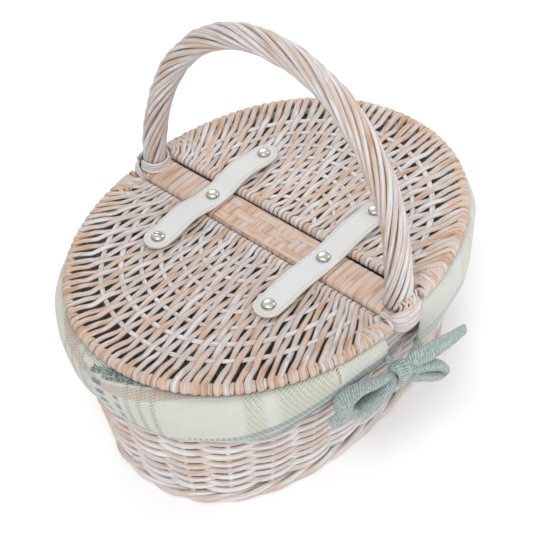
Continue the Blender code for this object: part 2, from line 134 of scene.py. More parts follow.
def circle(count):
    """Angles once round, without the last one, which is the first again."""
    return np.linspace(0, FULL_TURN, count, endpoint=False)


def wander(rng, count, knots):
    """Smooth random curve between -1 and 1, with a free value at each knot."""
    values = rng.uniform(-1, 1, knots + 1)
    at = np.linspace(0, knots, count)
    low = np.minimum(at.astype(int), knots - 1)
    return values[low] + (values[low + 1] - values[low]) * smooth(at - low)


def lengths_along(line):
    """Distance of each point from the first, along the line."""
    return np.concatenate([[0.0], np.cumsum(np.linalg.norm(np.diff(line, axis=0), axis=1))])


def resample(line, spacing, closed=False):
    """Points at an even distance along a line."""
    line = np.asarray(line, float)
    if closed:
        line = np.vstack([line, line[:1]])
    at = lengths_along(line)
    wanted = np.linspace(0, at[-1], max(2, int(round(at[-1] / spacing)) + 1))
    points = np.stack([np.interp(wanted, at, part) for part in line.T], axis=1)
    return points[:-1] if closed else points


def oval(half_x, half_y, angle, power=BODY_SQUARENESS):
    """Points of a superellipse at angles."""
    x, y = signed_power(np.cos(angle), 2 / power), signed_power(np.sin(angle), 2 / power)
    return np.stack([half_x * x, half_y * y], axis=-1)


def oval_normal(points, half_x, half_y):
    x, y = points[..., 0] / half_x, points[..., 1] / half_y
    power = BODY_SQUARENESS - 1
    return unit(np.stack([signed_power(x, power) / half_x, signed_power(y, power) / half_y], axis=-1))


def even_angles(half_x, half_y, start=0.0):
    """Function from a share of the oval's length to its angle, and the whole length."""
    table = start + np.linspace(0, FULL_TURN, 2001)
    at = lengths_along(oval(half_x, half_y, table))
    return lambda share: np.interp(np.mod(share, 1.0) * at[-1], at, table), at[-1]


def flat3(points, z):
    points = np.asarray(points, float)
    return np.column_stack([points, np.broadcast_to(z, (len(points),))])


def grid_faces(rows, columns, closed):
    """Quads between neighbouring rows of points."""
    faces = []
    for row in range(0, (rows - 1) * columns, columns):
        for j in range(columns if closed else columns - 1):
            k, below = (j + 1) % columns, row + columns
            faces.append((row + j, row + k, below + k, below + j))
    return faces


def add_mesh(name, verts, faces, material, uvs=None, sharp=None):
    """Smooth mesh from millimetre points. uvs holds a pair for each face corner, and edges over
    the angle in sharp stay sharp."""
    mesh = bpy.data.meshes.new(name)
    mesh.from_pydata((np.asarray(verts) * MM).tolist(), [], [list(map(int, face)) for face in faces])
    if uvs is not None:
        layer = mesh.uv_layers.new(name="UVMap")
        layer.data.foreach_set("uv", np.asarray(uvs, np.float32).ravel())
    mesh.shade_smooth()
    if sharp:
        mesh.set_sharp_from_angle(angle=math.radians(sharp))
    mesh.materials.append(material)
    obj = bpy.data.objects.new(name, mesh)
    bpy.context.scene.collection.objects.link(obj)
    return obj


def point_values(obj, name, values):
    """Store one number a point, for the material to read."""
    layer = obj.data.attributes.new(name, "FLOAT", "POINT")
    layer.data.foreach_set("value", np.asarray(values, np.float32).ravel())


def register(piece, body, slot, *nodes):
    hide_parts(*nodes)
    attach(piece, body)


class Rods:
    """Rods gathered into one mesh. U runs along a rod and V round it, in metres."""

    def __init__(self, rng, sides=7):
        self.rng, self.sides, self.count = rng, sides, 0
        self.verts, self.faces, self.uvs, self.tones = [], [], [], []

    def add(self, line, width, thick=None, up=UP, closed=False, tone=None):
        """Sweep an ellipse along a line; its thickness lies along up, a vector or one per point."""
        line = np.asarray(line, float)
        count, sides, first = len(line), self.sides, self.count
        width, thick = (
            np.broadcast_to(np.asarray(size, float), (count,)) / 2
            for size in (width, width if thick is None else thick)
        )
        if closed:
            along = unit(np.roll(line, -1, 0) - np.roll(line, 1, 0))
        else:
            along = unit(np.gradient(line, axis=0))
        across = unit(np.cross(np.broadcast_to(up, line.shape), along))
        lift = np.cross(along, across)
        turn = FULL_TURN * np.arange(sides) / sides - math.pi / 2
        ring = (
            line[:, None, :]
            + across[:, None, :] * (width[:, None] * np.cos(turn))[:, :, None]
            + lift[:, None, :] * (thick[:, None] * np.sin(turn))[:, :, None]
        )
        length = lengths_along(line) * MM + self.rng.uniform(0, 5)
        closing = (length[-1] - length[0]) / (count - 1)
        girth = float(width.mean() + thick.mean()) * math.pi * MM
        rows = count if closed else count - 1
        i, j = np.repeat(np.arange(rows), sides), np.tile(np.arange(sides), rows)
        i_next, j_next = (i + 1) % count, (j + 1) % sides
        quads = np.stack(
            [i * sides + j, i * sides + j_next, i_next * sides + j_next, i_next * sides + j], axis=1
        )
        u_low, u_high = length[i], np.where(i_next > i, length[i_next], length[-1] + closing)
        v_low, v_high = j / sides * girth, (j + 1) / sides * girth
        uv = np.stack([u_low, v_low, u_low, v_high, u_high, v_high, u_high, v_low], axis=1)
        self.faces.extend((quads + first).tolist())
        self.uvs.extend(uv.reshape(-1, 2).tolist())
        if not closed:
            for row, order in ((0, -1), (count - 1, 1)):
                self.faces.append((first + row * sides + np.arange(sides))[::order].tolist())
                self.uvs.extend([[length[row], 0.0]] * sides)
        self.verts.append(ring.reshape(-1, 3))
        tone = self.rng.uniform() if tone is None else tone
        self.tones.append(np.repeat(np.broadcast_to(tone, (count,)), sides))
        self.count += count * sides

    def build(self, name, material):
        obj = add_mesh(name, np.concatenate(self.verts), self.faces, material, self.uvs)
        point_values(obj, "tone", np.concatenate(self.tones))
        return obj


# Materials -------------------------------------------------------------------------------------


def srgb(red, green, blue):
    """Colour from 0 to 255 as linear RGBA."""
    def linear(value):
        value /= 255.0
        return value / 12.92 if value <= 0.04045 else ((value + 0.055) / 1.055) ** 2.4
    return (linear(red), linear(green), linear(blue), 1.0)


class Value:
    """A number in a node tree; arithmetic on it adds math nodes."""

    def __init__(self, graph, socket):
        self.graph, self.socket = graph, socket

    def __add__(self, other):
        return self.graph.math("ADD", self, other)

    def __sub__(self, other):
        return self.graph.math("SUBTRACT", self, other)

    def __rsub__(self, other):
        return self.graph.math("SUBTRACT", other, self)

    def __mul__(self, other):
        return self.graph.math("MULTIPLY", self, other)

    def __lt__(self, other):
        return self.graph.math("LESS_THAN", self, other)

    def __gt__(self, other):
        return self.graph.math("GREATER_THAN", self, other)

    def __abs__(self):
        return self.graph.math("ABSOLUTE", self)


class Graph:
    """Small help for building a node tree. Numbers come as Value and colours as sockets."""

    def __init__(self, name):
        self.material = bpy.data.materials.new(name)
        self.material.use_nodes = True
        self.tree = self.material.node_tree
        self.shader = self.tree.nodes["Principled BSDF"]

    def node(self, kind, inputs=None, **settings):
        made = self.tree.nodes.new(kind)
        for key, value in settings.items():
            setattr(made, key, value)
        for key, value in (inputs or {}).items():
            self.put(made.inputs[key], value)
        return made

    def put(self, socket, value):
        value = value.socket if isinstance(value, Value) else value
        if isinstance(value, bpy.types.NodeSocket):
            self.tree.links.new(value, socket)
        else:
            socket.default_value = value

    def math(self, operation, *values):
        made = self.node("ShaderNodeMath", operation=operation)
        for socket, value in zip(made.inputs, values):
            self.put(socket, value)
        return Value(self, made.outputs[0])

    def vector(self, x, y, z=0.0):
        return self.node("ShaderNodeCombineXYZ", {"X": x, "Y": y, "Z": z}).outputs[0]

    def split(self, vector):
        parts = self.node("ShaderNodeSeparateXYZ", {"Vector": vector}).outputs
        return [Value(self, part) for part in parts]

    def uv(self):
        return self.split(self.node("ShaderNodeUVMap").outputs[0])[:2]

    def place(self, output="Object"):
        return self.node("ShaderNodeTexCoord").outputs[output]

    def attribute(self, name):
        return Value(self, self.node("ShaderNodeAttribute", attribute_name=name).outputs["Fac"])

    def noise(self, vector, scale=1.0, detail=3.0):
        settings = {"Vector": vector, "Scale": scale, "Detail": detail, "Roughness": 0.55}
        return Value(self, self.node("ShaderNodeTexNoise", settings).outputs["Fac"])

    def ramp(self, value, stops):
        made = self.node("ShaderNodeValToRGB", {"Fac": value})
        elements = made.color_ramp.elements
        while len(elements) < len(stops):
            elements.new(0.5)
        for element, (place, colour) in zip(elements, stops):
            element.position = place
            element.color = colour
        return made.outputs["Color"]

    def mix(self, share, a, b, blend="MIX"):
        made = self.node("ShaderNodeMix", data_type="RGBA", blend_type=blend)
        for number, value in ((0, share), (6, a), (7, b)):  # the inputs that RGBA data uses
            self.put(made.inputs[number], value)
        return made.outputs[2]

    def step(self, value, low, high):
        """0 below low, 1 above high, smooth between; low may be above high."""
        made = self.node(
            "ShaderNodeMapRange", {"Value": value, "From Min": low, "From Max": high},
            interpolation_type="SMOOTHSTEP",
        )
        return Value(self, made.outputs[0])

    def band(self, value, low, high, soft):
        """1 from low to high, with soft edges."""
        return self.step(value, low - soft, low + soft) * self.step(value, high + soft, high - soft)

    def waves(self, value, length):
        """0 to 1 and back once every length."""
        return self.math("SINE", value * (FULL_TURN / length)) * 0.5 + 0.5

    def bump(self, height, strength, distance):
        settings = {"Height": height, "Strength": strength, "Distance": distance}
        self.put(self.shader.inputs["Normal"], self.node("ShaderNodeBump", settings).outputs[0])

    def finish(self, colour, roughness, **others):
        others = {key.replace("_", " "): value for key, value in others.items()}
        for key, value in {"Base Color": colour, "Roughness": roughness, **others}.items():
            self.put(self.shader.inputs[key], value)
        return self.material


PEACH_DARK = srgb(168, 137, 116)
PEACH = srgb(194, 165, 144)
PEACH_PALE = srgb(195, 179, 168)
LILAC = srgb(179, 171, 170)
WASH = srgb(205, 201, 200)
BARK = srgb(104, 85, 75)


def willow(name, pale=0.0, streak=1.0, contrast=1.0, bright=1.0, from_uv=True):
    """Whitewashed willow: paint left in streaks along the rod over peach-coloured wood."""
    g = Graph(name)
    if from_uv:
        u, v = g.uv()
        tone = g.attribute("tone")
    else:
        x, y, v = g.split(g.place())
        u, tone = x + y, 0.5
    lines = g.noise(g.vector(u * 38.0, v * (700.0 * streak), tone), detail=4.0)
    patches = g.noise(g.vector(u * 34.0, v * 130.0, tone + 7.0))
    fine = g.noise(g.vector(u * 60.0, v * (2100.0 * streak), 3.0), detail=3.0)
    paint = (lines * 1.2 + patches * 0.6 + (tone * 0.1 + -0.95)) * contrast + (pale + 0.5)
    colour = g.ramp(
        paint, [(0.25, PEACH_DARK), (0.37, PEACH), (0.47, PEACH_PALE), (0.53, LILAC), (0.66, WASH)]
    )
    colour = g.mix(g.step(fine, 0.6, 0.74) * 0.5, colour, BARK)
    colour = g.mix(1.0, colour, (bright, bright, bright, 1.0), "MULTIPLY")
    g.bump(lines * 0.6 + fine * 0.5, 0.55, 0.0006)
    return g.finish(colour, patches * 0.25 + 0.52, Specular_IOR_Level=0.35)


CREAM = srgb(197, 197, 190)
OLIVE = srgb(160, 164, 142)
OLIVE_DARK = srgb(142, 150, 122)
TEAL = srgb(104, 130, 134)
TEAL_DARK = srgb(60, 86, 90)
BEIGE = srgb(168, 150, 136)
BROWN = srgb(122, 98, 66)

# Plaid columns of the skirt: from and to, as metres round the rim from the nearer end of the basket
MIXED = (-0.0100, -0.0005)  # the column at the front end, of small checks
FADED = (MIXED[0] - 0.007, MIXED[0] - 0.0035)
DASHES = (0.0088, 0.0136)
OLIVES = ((0.0185, 0.0225), (0.0285, 0.032), (0.038, 0.0415))
WIDE_OLIVE = (0.095, 0.107)
HATCHED = (0.116, 0.154)
BROWN_DASHES = (0.1545, 0.1565)
# Plaid rows: from and to, as metres down from the fold over the rim at the basket's end. They
# climb a little along the rim, because straight cloth is laid round an oval.
TEAL_ROW = (-0.0058, 0.0057)
BEIGE_ROW = (0.0077, 0.0155)
ROW_CLIMB = 0.30
HEM_FROM, HEM_WIDE = 0.062, 0.108  # the rows at the hem widen between these, round the rim


def plaid(name, girth, painted_shade_factor=1.0):
    """Cream tweed with teal, beige and olive bands; U runs round the rim and V down the skirt."""
    g = Graph(name)
    u, v = g.uv()
    above_hem = g.attribute("above_hem")
    along = g.math("PINGPONG", abs(u), girth / 4)
    thread = g.waves(v, 0.00115)
    cross = g.waves(u, 0.00125)
    slub = g.noise(g.vector(u * 260.0, v * 900.0), detail=3.0)
    uneven = g.noise(g.vector(u * 60.0, v * 90.0, 4.0))
    twill = g.waves(u * 0.62 + uneven * 0.0012 + v, 0.00205)
    knots = g.waves(v * -0.5 + uneven * 0.002 + u, 0.0034)
    ink = g.step(slub * 0.9 + knots * 0.5 + twill * 0.75, 0.75, 1.4)
    colour = g.mix(thread * slub * 0.55, CREAM, srgb(186, 190, 172))

    ragged = uneven * 0.006 + along - 0.003
    hatched = g.step(along, 0.157, 0.16) * 0.45 + g.band(ragged, *HATCHED, 0.004)
    colour = g.mix(hatched * ink * 0.9, colour, OLIVE)
    deeper = g.mix(g.step(v, 0.012, 0.030), OLIVE_DARK, srgb(106, 126, 112))
    for column in OLIVES:
        colour = g.mix(g.band(along, *column, 0.0009) * ink * 0.9, colour, deeper)
    colour = g.mix(g.band(ragged, *WIDE_OLIVE, 0.002) * ink * 0.6, colour, OLIVE_DARK)

    climbed = along * ROW_CLIMB + v
    row = g.band(climbed, *BEIGE_ROW, 0.0008)
    colour = g.mix(row * (ink * 0.45 + 0.4), colour, BEIGE)
    row = g.band(climbed, *TEAL_ROW, 0.0008) * g.step(u, MIXED[1] - 0.001, MIXED[1] + 0.002)
    mottle = g.step(slub, 0.4, 0.62) * 0.45 + ink * 0.2 + 0.4
    colour = g.mix(row * mottle, colour, TEAL_DARK)

    widening = g.step(along, HEM_FROM, HEM_WIDE)
    row = (above_hem < widening * 0.0085 + 0.0036) * (above_hem > widening * 0.005 + 0.001)
    row = row * g.math("MAXIMUM", widening, g.step(g.waves(u, 0.0036), 0.3, 0.5))
    second = g.band(above_hem, 0.0004, 0.004, 0.0004) * widening
    row = (row + second * 0.8) * g.step(along, HEM_FROM - 0.010, HEM_FROM)
    colour = g.mix(row * (ink * 0.5 + 0.45), colour, TEAL)
    # Painted shade: past 0.1 m round the rim, the hem's lowest teal row is darkened further for the
    # shadow under the turned hem.
    colour = g.mix(second * g.step(along, 0.1, 0.15) * 0.6, colour, TEAL_DARK)

    flecks = g.noise(g.vector(u * 330.0, v * 820.0, 9.0), detail=2.0)
    blocks = g.waves(uneven * 0.004 + u * 0.4 + v, 0.0095)
    checks = g.step(blocks * 0.32 + flecks, 0.62, 0.74)
    mixed = g.band(u, *MIXED, 0.0016)
    colour = g.mix(mixed * checks * 0.85, colour, TEAL_DARK)
    colour = g.mix(mixed * g.step(flecks, 0.44, 0.36) * 0.5, colour, BEIGE)
    colour = g.mix(g.band(u, *FADED, 0.0015) * checks * 0.4, colour, TEAL)
    dashes = g.band(u, *DASHES, 0.0005) * g.step(twill, 0.15, 0.4)
    dashes = dashes * g.step(g.waves(v, 0.0105), 0.18, 0.34)
    dashes = dashes * g.step(climbed, BEIGE_ROW[1], BEIGE_ROW[1] + 0.001)
    colour = g.mix(dashes * 0.95, colour, TEAL_DARK)
    back_half = g.step(abs(u), girth / 4 - 0.004, girth / 4)
    brown = g.band(along, *BROWN_DASHES, 0.0005) * g.band(v, 0.001, 0.0135, 0.0006)
    colour = g.mix(brown * (1.0 - back_half) * g.step(twill, 0.3, 0.7), colour, BROWN)
    colour = g.mix(back_half * 0.45, colour, srgb(213, 214, 209))

    # The cloth's own uneven tone, times a factor that darkens the whole cloth as painted shade.
    shade = (uneven * 0.14 + 0.92) * painted_shade_factor
    colour = g.mix(1.0, colour, g.vector(shade, shade, shade), "MULTIPLY")
    g.bump(slub * 0.8 + twill * 0.5 + cross * 0.3 + thread, 0.6, 0.0004)
    return g.finish(colour, 0.92, Specular_IOR_Level=0.15, Sheen_Weight=0.25, Sheen_Roughness=0.6)


def twill_tie(name):
    """Teal and white twill of the ties, ribbed across the strip."""
    g = Graph(name)
    u, v = g.uv()
    uneven = g.noise(g.vector(u * 90.0, v * 150.0))
    ribs = g.waves(v * 0.25 + uneven * 0.0035 + u, 0.0016)
    slub = g.noise(g.vector(u * 500.0, v * 500.0), detail=3.0)
    ink = slub * 0.95 + ribs * 0.3 - 0.04
    greys = (0.2, srgb(94, 114, 114)), (0.5, srgb(130, 148, 146)), (0.85, srgb(178, 186, 181))
    colour = g.ramp(ink, greys)
    yellow = g.noise(g.vector(u * 900.0, v * 300.0, 5.0))
    colour = g.mix(g.step(yellow, 0.6, 0.7) * 0.3, colour, srgb(190, 186, 140))
    g.bump(slub * 0.5 + ribs, 0.7, 0.0005)
    return g.finish(colour, 0.92, Specular_IOR_Level=0.15, Sheen_Weight=0.3, Sheen_Roughness=0.6)


def leather(name):
    """White leather with a fine grain and a pressed line; towards V = 1, the cut edge, it is cream."""
    g = Graph(name)
    from_middle = abs(g.uv()[1])
    place = g.place()
    cells = g.node("ShaderNodeTexVoronoi", {"Vector": place, "Scale": 1500.0})
    grain = Value(g, cells.outputs["Distance"])
    fine = g.noise(place, 2600.0, 2.0)
    cloud = g.noise(place, 90.0)
    colour = g.mix(cloud * 0.35, srgb(204, 204, 204), srgb(190, 190, 190))
    edge = g.step(from_middle, 0.93, 0.985)
    colour = g.mix(edge * (cloud * 0.6 + 0.5), colour, srgb(196, 187, 168))
    line = g.band(from_middle, 0.8, 0.84, 0.015)
    g.bump(grain * 0.6 + fine * 0.4 - line * 0.8, 0.22, 0.0004)
    return g.finish(colour, fine * 0.2 + 0.42, Specular_IOR_Level=0.4)


def thread(name):
    g = Graph(name)
    ply = g.noise(g.place(), 3000.0, 2.0)
    colour = g.mix(ply, srgb(186, 182, 174), srgb(206, 203, 197))
    g.bump(ply, 0.4, 0.0002)
    return g.finish(colour, 0.8)


def nickel(name):
    """Polished nickel plate with faint rub marks, and a painted dark reflection where it turns down at
    the edge.
    """
    g = Graph(name)
    marks = g.noise(g.place(), 900.0, 4.0)
    colour = g.mix(g.noise(g.place(), 160.0, 2.0), srgb(206, 200, 188), srgb(226, 221, 211))
    # Painted reflection: where the surface turns down, away from facing up, the colour is darkened to
    # stand in for the dark surroundings it mirrors.
    facing_up = abs(g.split(g.place("Normal"))[2])
    colour = g.mix(g.step(facing_up, 0.72, 0.35) * 0.75, colour, srgb(96, 90, 80))
    g.bump(marks, 0.05, 0.0003)
    return g.finish(colour, marks * 0.2 + 0.16, Metallic=1.0)


# Body ------------------------------------------------------------------------------------------


def wall_half(z):
    """Half length and half width of the wall's outer face at a height."""
    share = (z - FOOT_HIGH[2]) / (WALL_HIGH[2] - FOOT_HIGH[2])
    return [low + (high - low) * share for low, high in zip(WALL_BASE, WALL_HIGH)]


def wall_points(angle, z, inset):
    """Points of the wall, set in from its outer face, and that face's normals."""
    points = oval(*wall_half(z), angle)
    normal = oval_normal(points, *wall_half(z))
    return flat3(points - normal * np.broadcast_to(inset, len(points))[:, None], z), normal


def build_wall(material):
    """Stakes, and one spiral of weavers that passes in and out of them."""
    rng = np.random.default_rng(11)
    rods = Rods(rng, sides=8)
    angle_at, _ = even_angles(*wall_half(60.0))
    height = np.linspace(FOOT_HIGH[2] - 4.0, RIM_LOW[2] + 1.0, 16)
    for stake in range(STAKE_COUNT):
        angle = float(angle_at(stake / STAKE_COUNT))
        line, _ = wall_points(np.full(16, angle), height, STAKE_DEPTH)
        rods.add(line, 2 * STAKE_RADIUS, up=[math.cos(angle), math.sin(angle), 0.0])
    bottom, top = FOOT_HIGH[2] + 3.4, WALL_HIGH[2] - 1.5
    rows = int(round((top - bottom) / WALL_ROW))
    turns = np.linspace(0, rows, rows * 250)
    out = 2.35 * signed_power(np.cos(math.pi * STAKE_COUNT * turns), 0.8)
    knots = np.arange(rows * 9 + 1) / 9
    drift = 0.35 * np.interp(turns, knots, rng.uniform(-1, 1, len(knots)))
    height = bottom + (top - bottom) * turns / rows + drift
    line, normal = wall_points(angle_at(turns), height, STAKE_DEPTH - out)
    starts = [0]
    while starts[-1] < len(turns) - 260:
        starts.append(starts[-1] + int(rng.uniform(130, 330)))
    for low, high in zip(starts, starts[1:] + [len(turns)]):
        part = line[low:high + 1]
        size = 2 * WALL_ROD * (1 + 0.08 * wander(rng, len(part), 6)) * rng.uniform(0.93, 1.05)
        rods.add(part, size * 1.06, size, up=flat3(normal[low:high + 1], 0.0))
    register(rods.build("wall_weave", material), "basket", "willow", "basket_wall")


def build_foot(material):
    """Three thick rods twisted round each other, on which the basket stands."""
    rods = Rods(np.random.default_rng(12), sides=9)
    halves = FOOT_HIGH[:2] - 4.3
    share = np.linspace(0, 1, 400, endpoint=False)
    points = oval(*halves, even_angles(*halves)[0](share))
    normal = flat3(oval_normal(points, *halves), 0.0)
    radius = 2.25
    for strand in range(3):
        turn = FULL_TURN * (strand / 3 + 10 * share)
        line = flat3(points, 2.35 + radius + radius * np.sin(turn))
        line += normal * (1.1 * radius * np.cos(turn))[:, None]
        rods.add(line, 4.6, 4.5, up=normal, closed=True)
    register(rods.build("foot_weave", material), "basket", "willow", "foot_border")


def build_base(material):
    """Rings woven over and under spokes, round a spine along the middle of the base."""
    rods = Rods(np.random.default_rng(13), sides=6)
    half_x, half_y = BASE_HIGH[:2]
    middle = (BASE_LOW[2] + BASE_HIGH[2]) / 2
    spine = half_x - half_y
    spokes, rings = 29, 23
    for ring in range(1, rings + 1):
        reach = (half_y - 1.6) * ring / rings
        angle_at, length = even_angles(spine + reach, reach)
        angle = angle_at(np.linspace(0, 1, max(60, int(length / 4.2)), endpoint=False))
        wave = np.cos(spokes * angle + math.pi * ring)
        rods.add(flat3(oval(spine + reach, reach, angle), middle + 1.15 * wave), 3.3, 2.6, closed=True)
    for spoke in range(spokes * 2):
        angle = math.pi * spoke / spokes
        end = oval(half_x - 1.0, half_y - 1.0, angle)
        start = np.array([spine * np.clip(math.cos(angle) * 1.2, -1, 1), 0.0])
        line = start + (end - start) * np.linspace(0.03, 1.0, 12)[:, None]
        rods.add(flat3(line, middle), 2.0)
    register(rods.build("base_weave", material), "basket", "willow", "base_panel")


# Crossbar --------------------------------------------------------------------------------------

BAR_GAP = 0.25  # the skein lies this much towards the front lid
SKEIN = 5.6  # width of one turn of skein
RIB_X = 8.3  # between the strips that the chequered turns pass over and under


def rounded_loop(half_x, half_z, radius, count=7):
    """Closed outline of a rounded rectangle in X and Z, with its outward directions."""
    points, outward = [], []
    for quarter, corner in enumerate(((1, 1), (-1, 1), (-1, -1), (1, -1))):
        angle = math.pi / 2 * (quarter + np.arange(count) / (count - 1))
        outward.append(np.column_stack([np.cos(angle), np.sin(angle)]))
        points.append(np.array(corner) * (half_x - radius, half_z - radius) + radius * outward[-1])
    return np.concatenate(points), np.concatenate(outward)


def build_crossbar(material):
    """Flat skein wound round the bar, plain at the ends and chequered between the straps."""
    rng = np.random.default_rng(14)
    rods = Rods(rng, sides=10)
    middle = (BAR_LOW[2] + BAR_HIGH[2]) / 2
    half_z = (BAR_HIGH[2] - BAR_LOW[2]) / 2 - 0.6
    loop = np.column_stack(rounded_loop(BAR_HIGH[0] - 0.9, half_z, 3.0))
    loop = resample(loop, 1.6, closed=True)
    loop, outward = loop[:, :2], unit(loop[:, 2:])
    count = 2 * int((BAR_HIGH[1] + 8.0) / SKEIN)
    slant = 0.4 * np.sin(np.arctan2(outward[:, 1], outward[:, 0]))
    up = np.column_stack([outward[:, 0], np.zeros(len(loop)), outward[:, 1]])
    for number in range(count):
        y = SKEIN * (number + 0.5 - count / 2)
        push = np.zeros(len(loop))
        if abs(y) < 37.0:
            ripple = np.cos(math.pi * loop[:, 0] / RIB_X) * (-1 if (number // 3) % 2 else 1)
            push = np.where(loop[:, 1] > half_z - 1.0, 0.5 * signed_power(ripple, 0.5) - 0.35, 0.0)
        x, z = (loop + push[:, None] * outward).T
        line = np.column_stack([x - BAR_GAP, y + slant + rng.uniform(-0.15, 0.15), middle + z])
        rods.add(line, SKEIN * rng.uniform(1.0, 1.08), 1.35, up=up, closed=True)
    reach = np.linspace(-39.0, 39.0, 60)
    for x in (-RIB_X, 0.0, RIB_X):
        line = np.column_stack([np.full(60, x - BAR_GAP), reach, np.full(60, middle + half_z - 0.15)])
        rods.add(line, 7.6 + 0.25 * wander(rng, 60, 8), 1.0, tone=rng.uniform(0.4, 0.7))
    register(rods.build("crossbar_skein", material), "basket", "willow", "crossbar_wrap")


# Handle ----------------------------------------------------------------------------------------

ARCH_Z = 129.0
ARCH_HALF_SPAN = 109.2
ARCH_RISE = 133.9
ARCH_SQUARENESS = 2.1
HANDLE_X = 0.5
HANDLE_LEAN = math.radians(8.5)
STRAND_OFFSET = 6.95
INNER_OFFSET = 4.9


def arch_line(spacing):
    """Middle line of the arch from the far foot to the near one."""
    y, z = oval(ARCH_HALF_SPAN, ARCH_RISE, np.linspace(0, math.pi, 600), ARCH_SQUARENESS).T
    return resample(np.column_stack([HANDLE_X + z * math.tan(HANDLE_LEAN), y, ARCH_Z + z]), spacing)


def build_handle(material):
    """Willow strands laid round the core in a slow twist."""
    rng = np.random.default_rng(15)
    rods = Rods(rng, sides=8)
    line = arch_line(3.0)
    count = len(line)
    lean = np.array([math.cos(HANDLE_LEAN), 0.0, -math.sin(HANDLE_LEAN)])
    out = unit(np.cross(unit(np.gradient(line, axis=0)), lean))
    share = np.linspace(0, 1, count)

    def radial(place, sway=0.0):
        turn = FULL_TURN * (place + HANDLE_TURNS * share) + sway
        return out * np.cos(turn)[:, None] + lean * np.sin(turn)[:, None]

    for number in range(INNER_STRANDS):
        way = radial(number / INNER_STRANDS)
        rods.add(line + way * INNER_OFFSET, 4.1, 3.0, up=way, tone=-2.5)
    foot = 0.9 + 0.1 * smooth(np.minimum(share, 1 - share) / 0.06)
    flare = 1 + 0.22 * smooth((share - 0.93) / 0.06)  # the near foot spreads
    for number in range(HANDLE_STRANDS):
        way = radial(number / HANDLE_STRANDS, 0.11 * wander(rng, count, 9))
        rise = (STRAND_OFFSET + 0.45 * wander(rng, count, 14)) * flare * foot
        size = rng.uniform(3.1, 3.85) * (1 + 0.06 * wander(rng, count, 12))
        rods.add(line + way * rise[:, None], size, size * 0.92, up=way)
    nodes = [f"handle_rod_{k}" for k in range(1, 7)]
    register(rods.build("handle_strands", material), "basket", "willow", *nodes)


def build_lashing(label, material):
    """Strands bound round one foot of the handle, with crossed ends on the outside."""
    side = SIDES[label]
    rng = np.random.default_rng(16 + (side > 0))
    rods = Rods(rng, sides=7)
    centre = np.array([HANDLE_X, side * ARCH_HALF_SPAN])

    def around_foot(half_x, half_y, angle, power, z, tilt=0.0):
        """Line round the outside of the foot, with its outward directions."""
        ring = oval(half_x, half_y, angle, power)
        return flat3(centre + ring * [1, side], z), flat3(unit(ring) * [1, side], tilt)

    angle = np.linspace(-0.55, math.pi + 0.55, 44)
    for level in range(9):
        bulge = 1.0 - 0.02 * (level - 4.0) ** 2 / 3
        arch = np.maximum(np.sin(angle), -0.3) * (1.0 if level % 2 else 0.5)
        z = 116.8 + 1.4 * level + arch + 0.2 * wander(rng, 44, 5)
        line, normal = around_foot(13.0 * bulge, 13.9 * bulge, angle, 2.8, z)
        line[:, :2] += 0.2 * np.column_stack([wander(rng, 44, 6), wander(rng, 44, 6)])
        rods.add(line, 2.1, 1.9, up=normal, tone=rng.uniform(0.6, 1.0))
    angle = np.linspace(-0.3, math.pi + 0.3, 44)
    drop = (1 - np.clip(np.sin(angle), 0, 1)) ** 1.5  # the ends dive into the crossbar
    for level in range(4):
        z = 129.2 + 1.35 * level - (2.6 + 1.35 * level) * drop + 0.15 * wander(rng, 44, 5)
        line, normal = around_foot(12.7 - 0.5 * level, 13.3 - 0.8 * level, angle, 2.5, z, 0.6)
        rods.add(line, 2.1, 1.9, up=normal, tone=rng.uniform(0.7, 1.2))
    t = np.linspace(0, 1, 9)[:, None]
    for k in range(9):
        x = -7.2 + 1.8 * k
        cross = 3.2 if k % 2 else -3.2
        low = np.array([HANDLE_X + x, side * (ARCH_HALF_SPAN + 11.2 - 0.07 * x * x), 132.6])
        high = np.array([HANDLE_X + 0.7 * x + cross + 1.2, side * (ARCH_HALF_SPAN + 7.0), 138.4])
        arc = low + (high - low) * t + np.array([0, side * 1.4, 1.4]) * np.sin(math.pi * t)
        rods.add(arc, 2.0, 1.6, up=[0.0, side, 0.6])
    angle = np.linspace(-0.3, math.pi + 0.3, 30)
    for level in range(4 if label == "far" else 0):
        z = 131.4 + 1.75 * level
        ring = oval(10.0 - 0.2 * level, 10.2 - 0.2 * level, angle, 2.2) * [1, -side]
        middle = centre + [(z - ARCH_Z) * math.tan(HANDLE_LEAN), 0.0]
        line = flat3(middle + ring, z + 0.5 * np.cos(angle * 2))
        rods.add(line, 2.2, 1.8, up=flat3(unit(ring), 0.0), tone=rng.uniform(0.5, 0.9))
    piece = rods.build(f"handle_lashing_{label}", material)
    register(piece, "basket", "willow", f"handle_binding_{label}")


# Lids ------------------------------------------------------------------------------------------


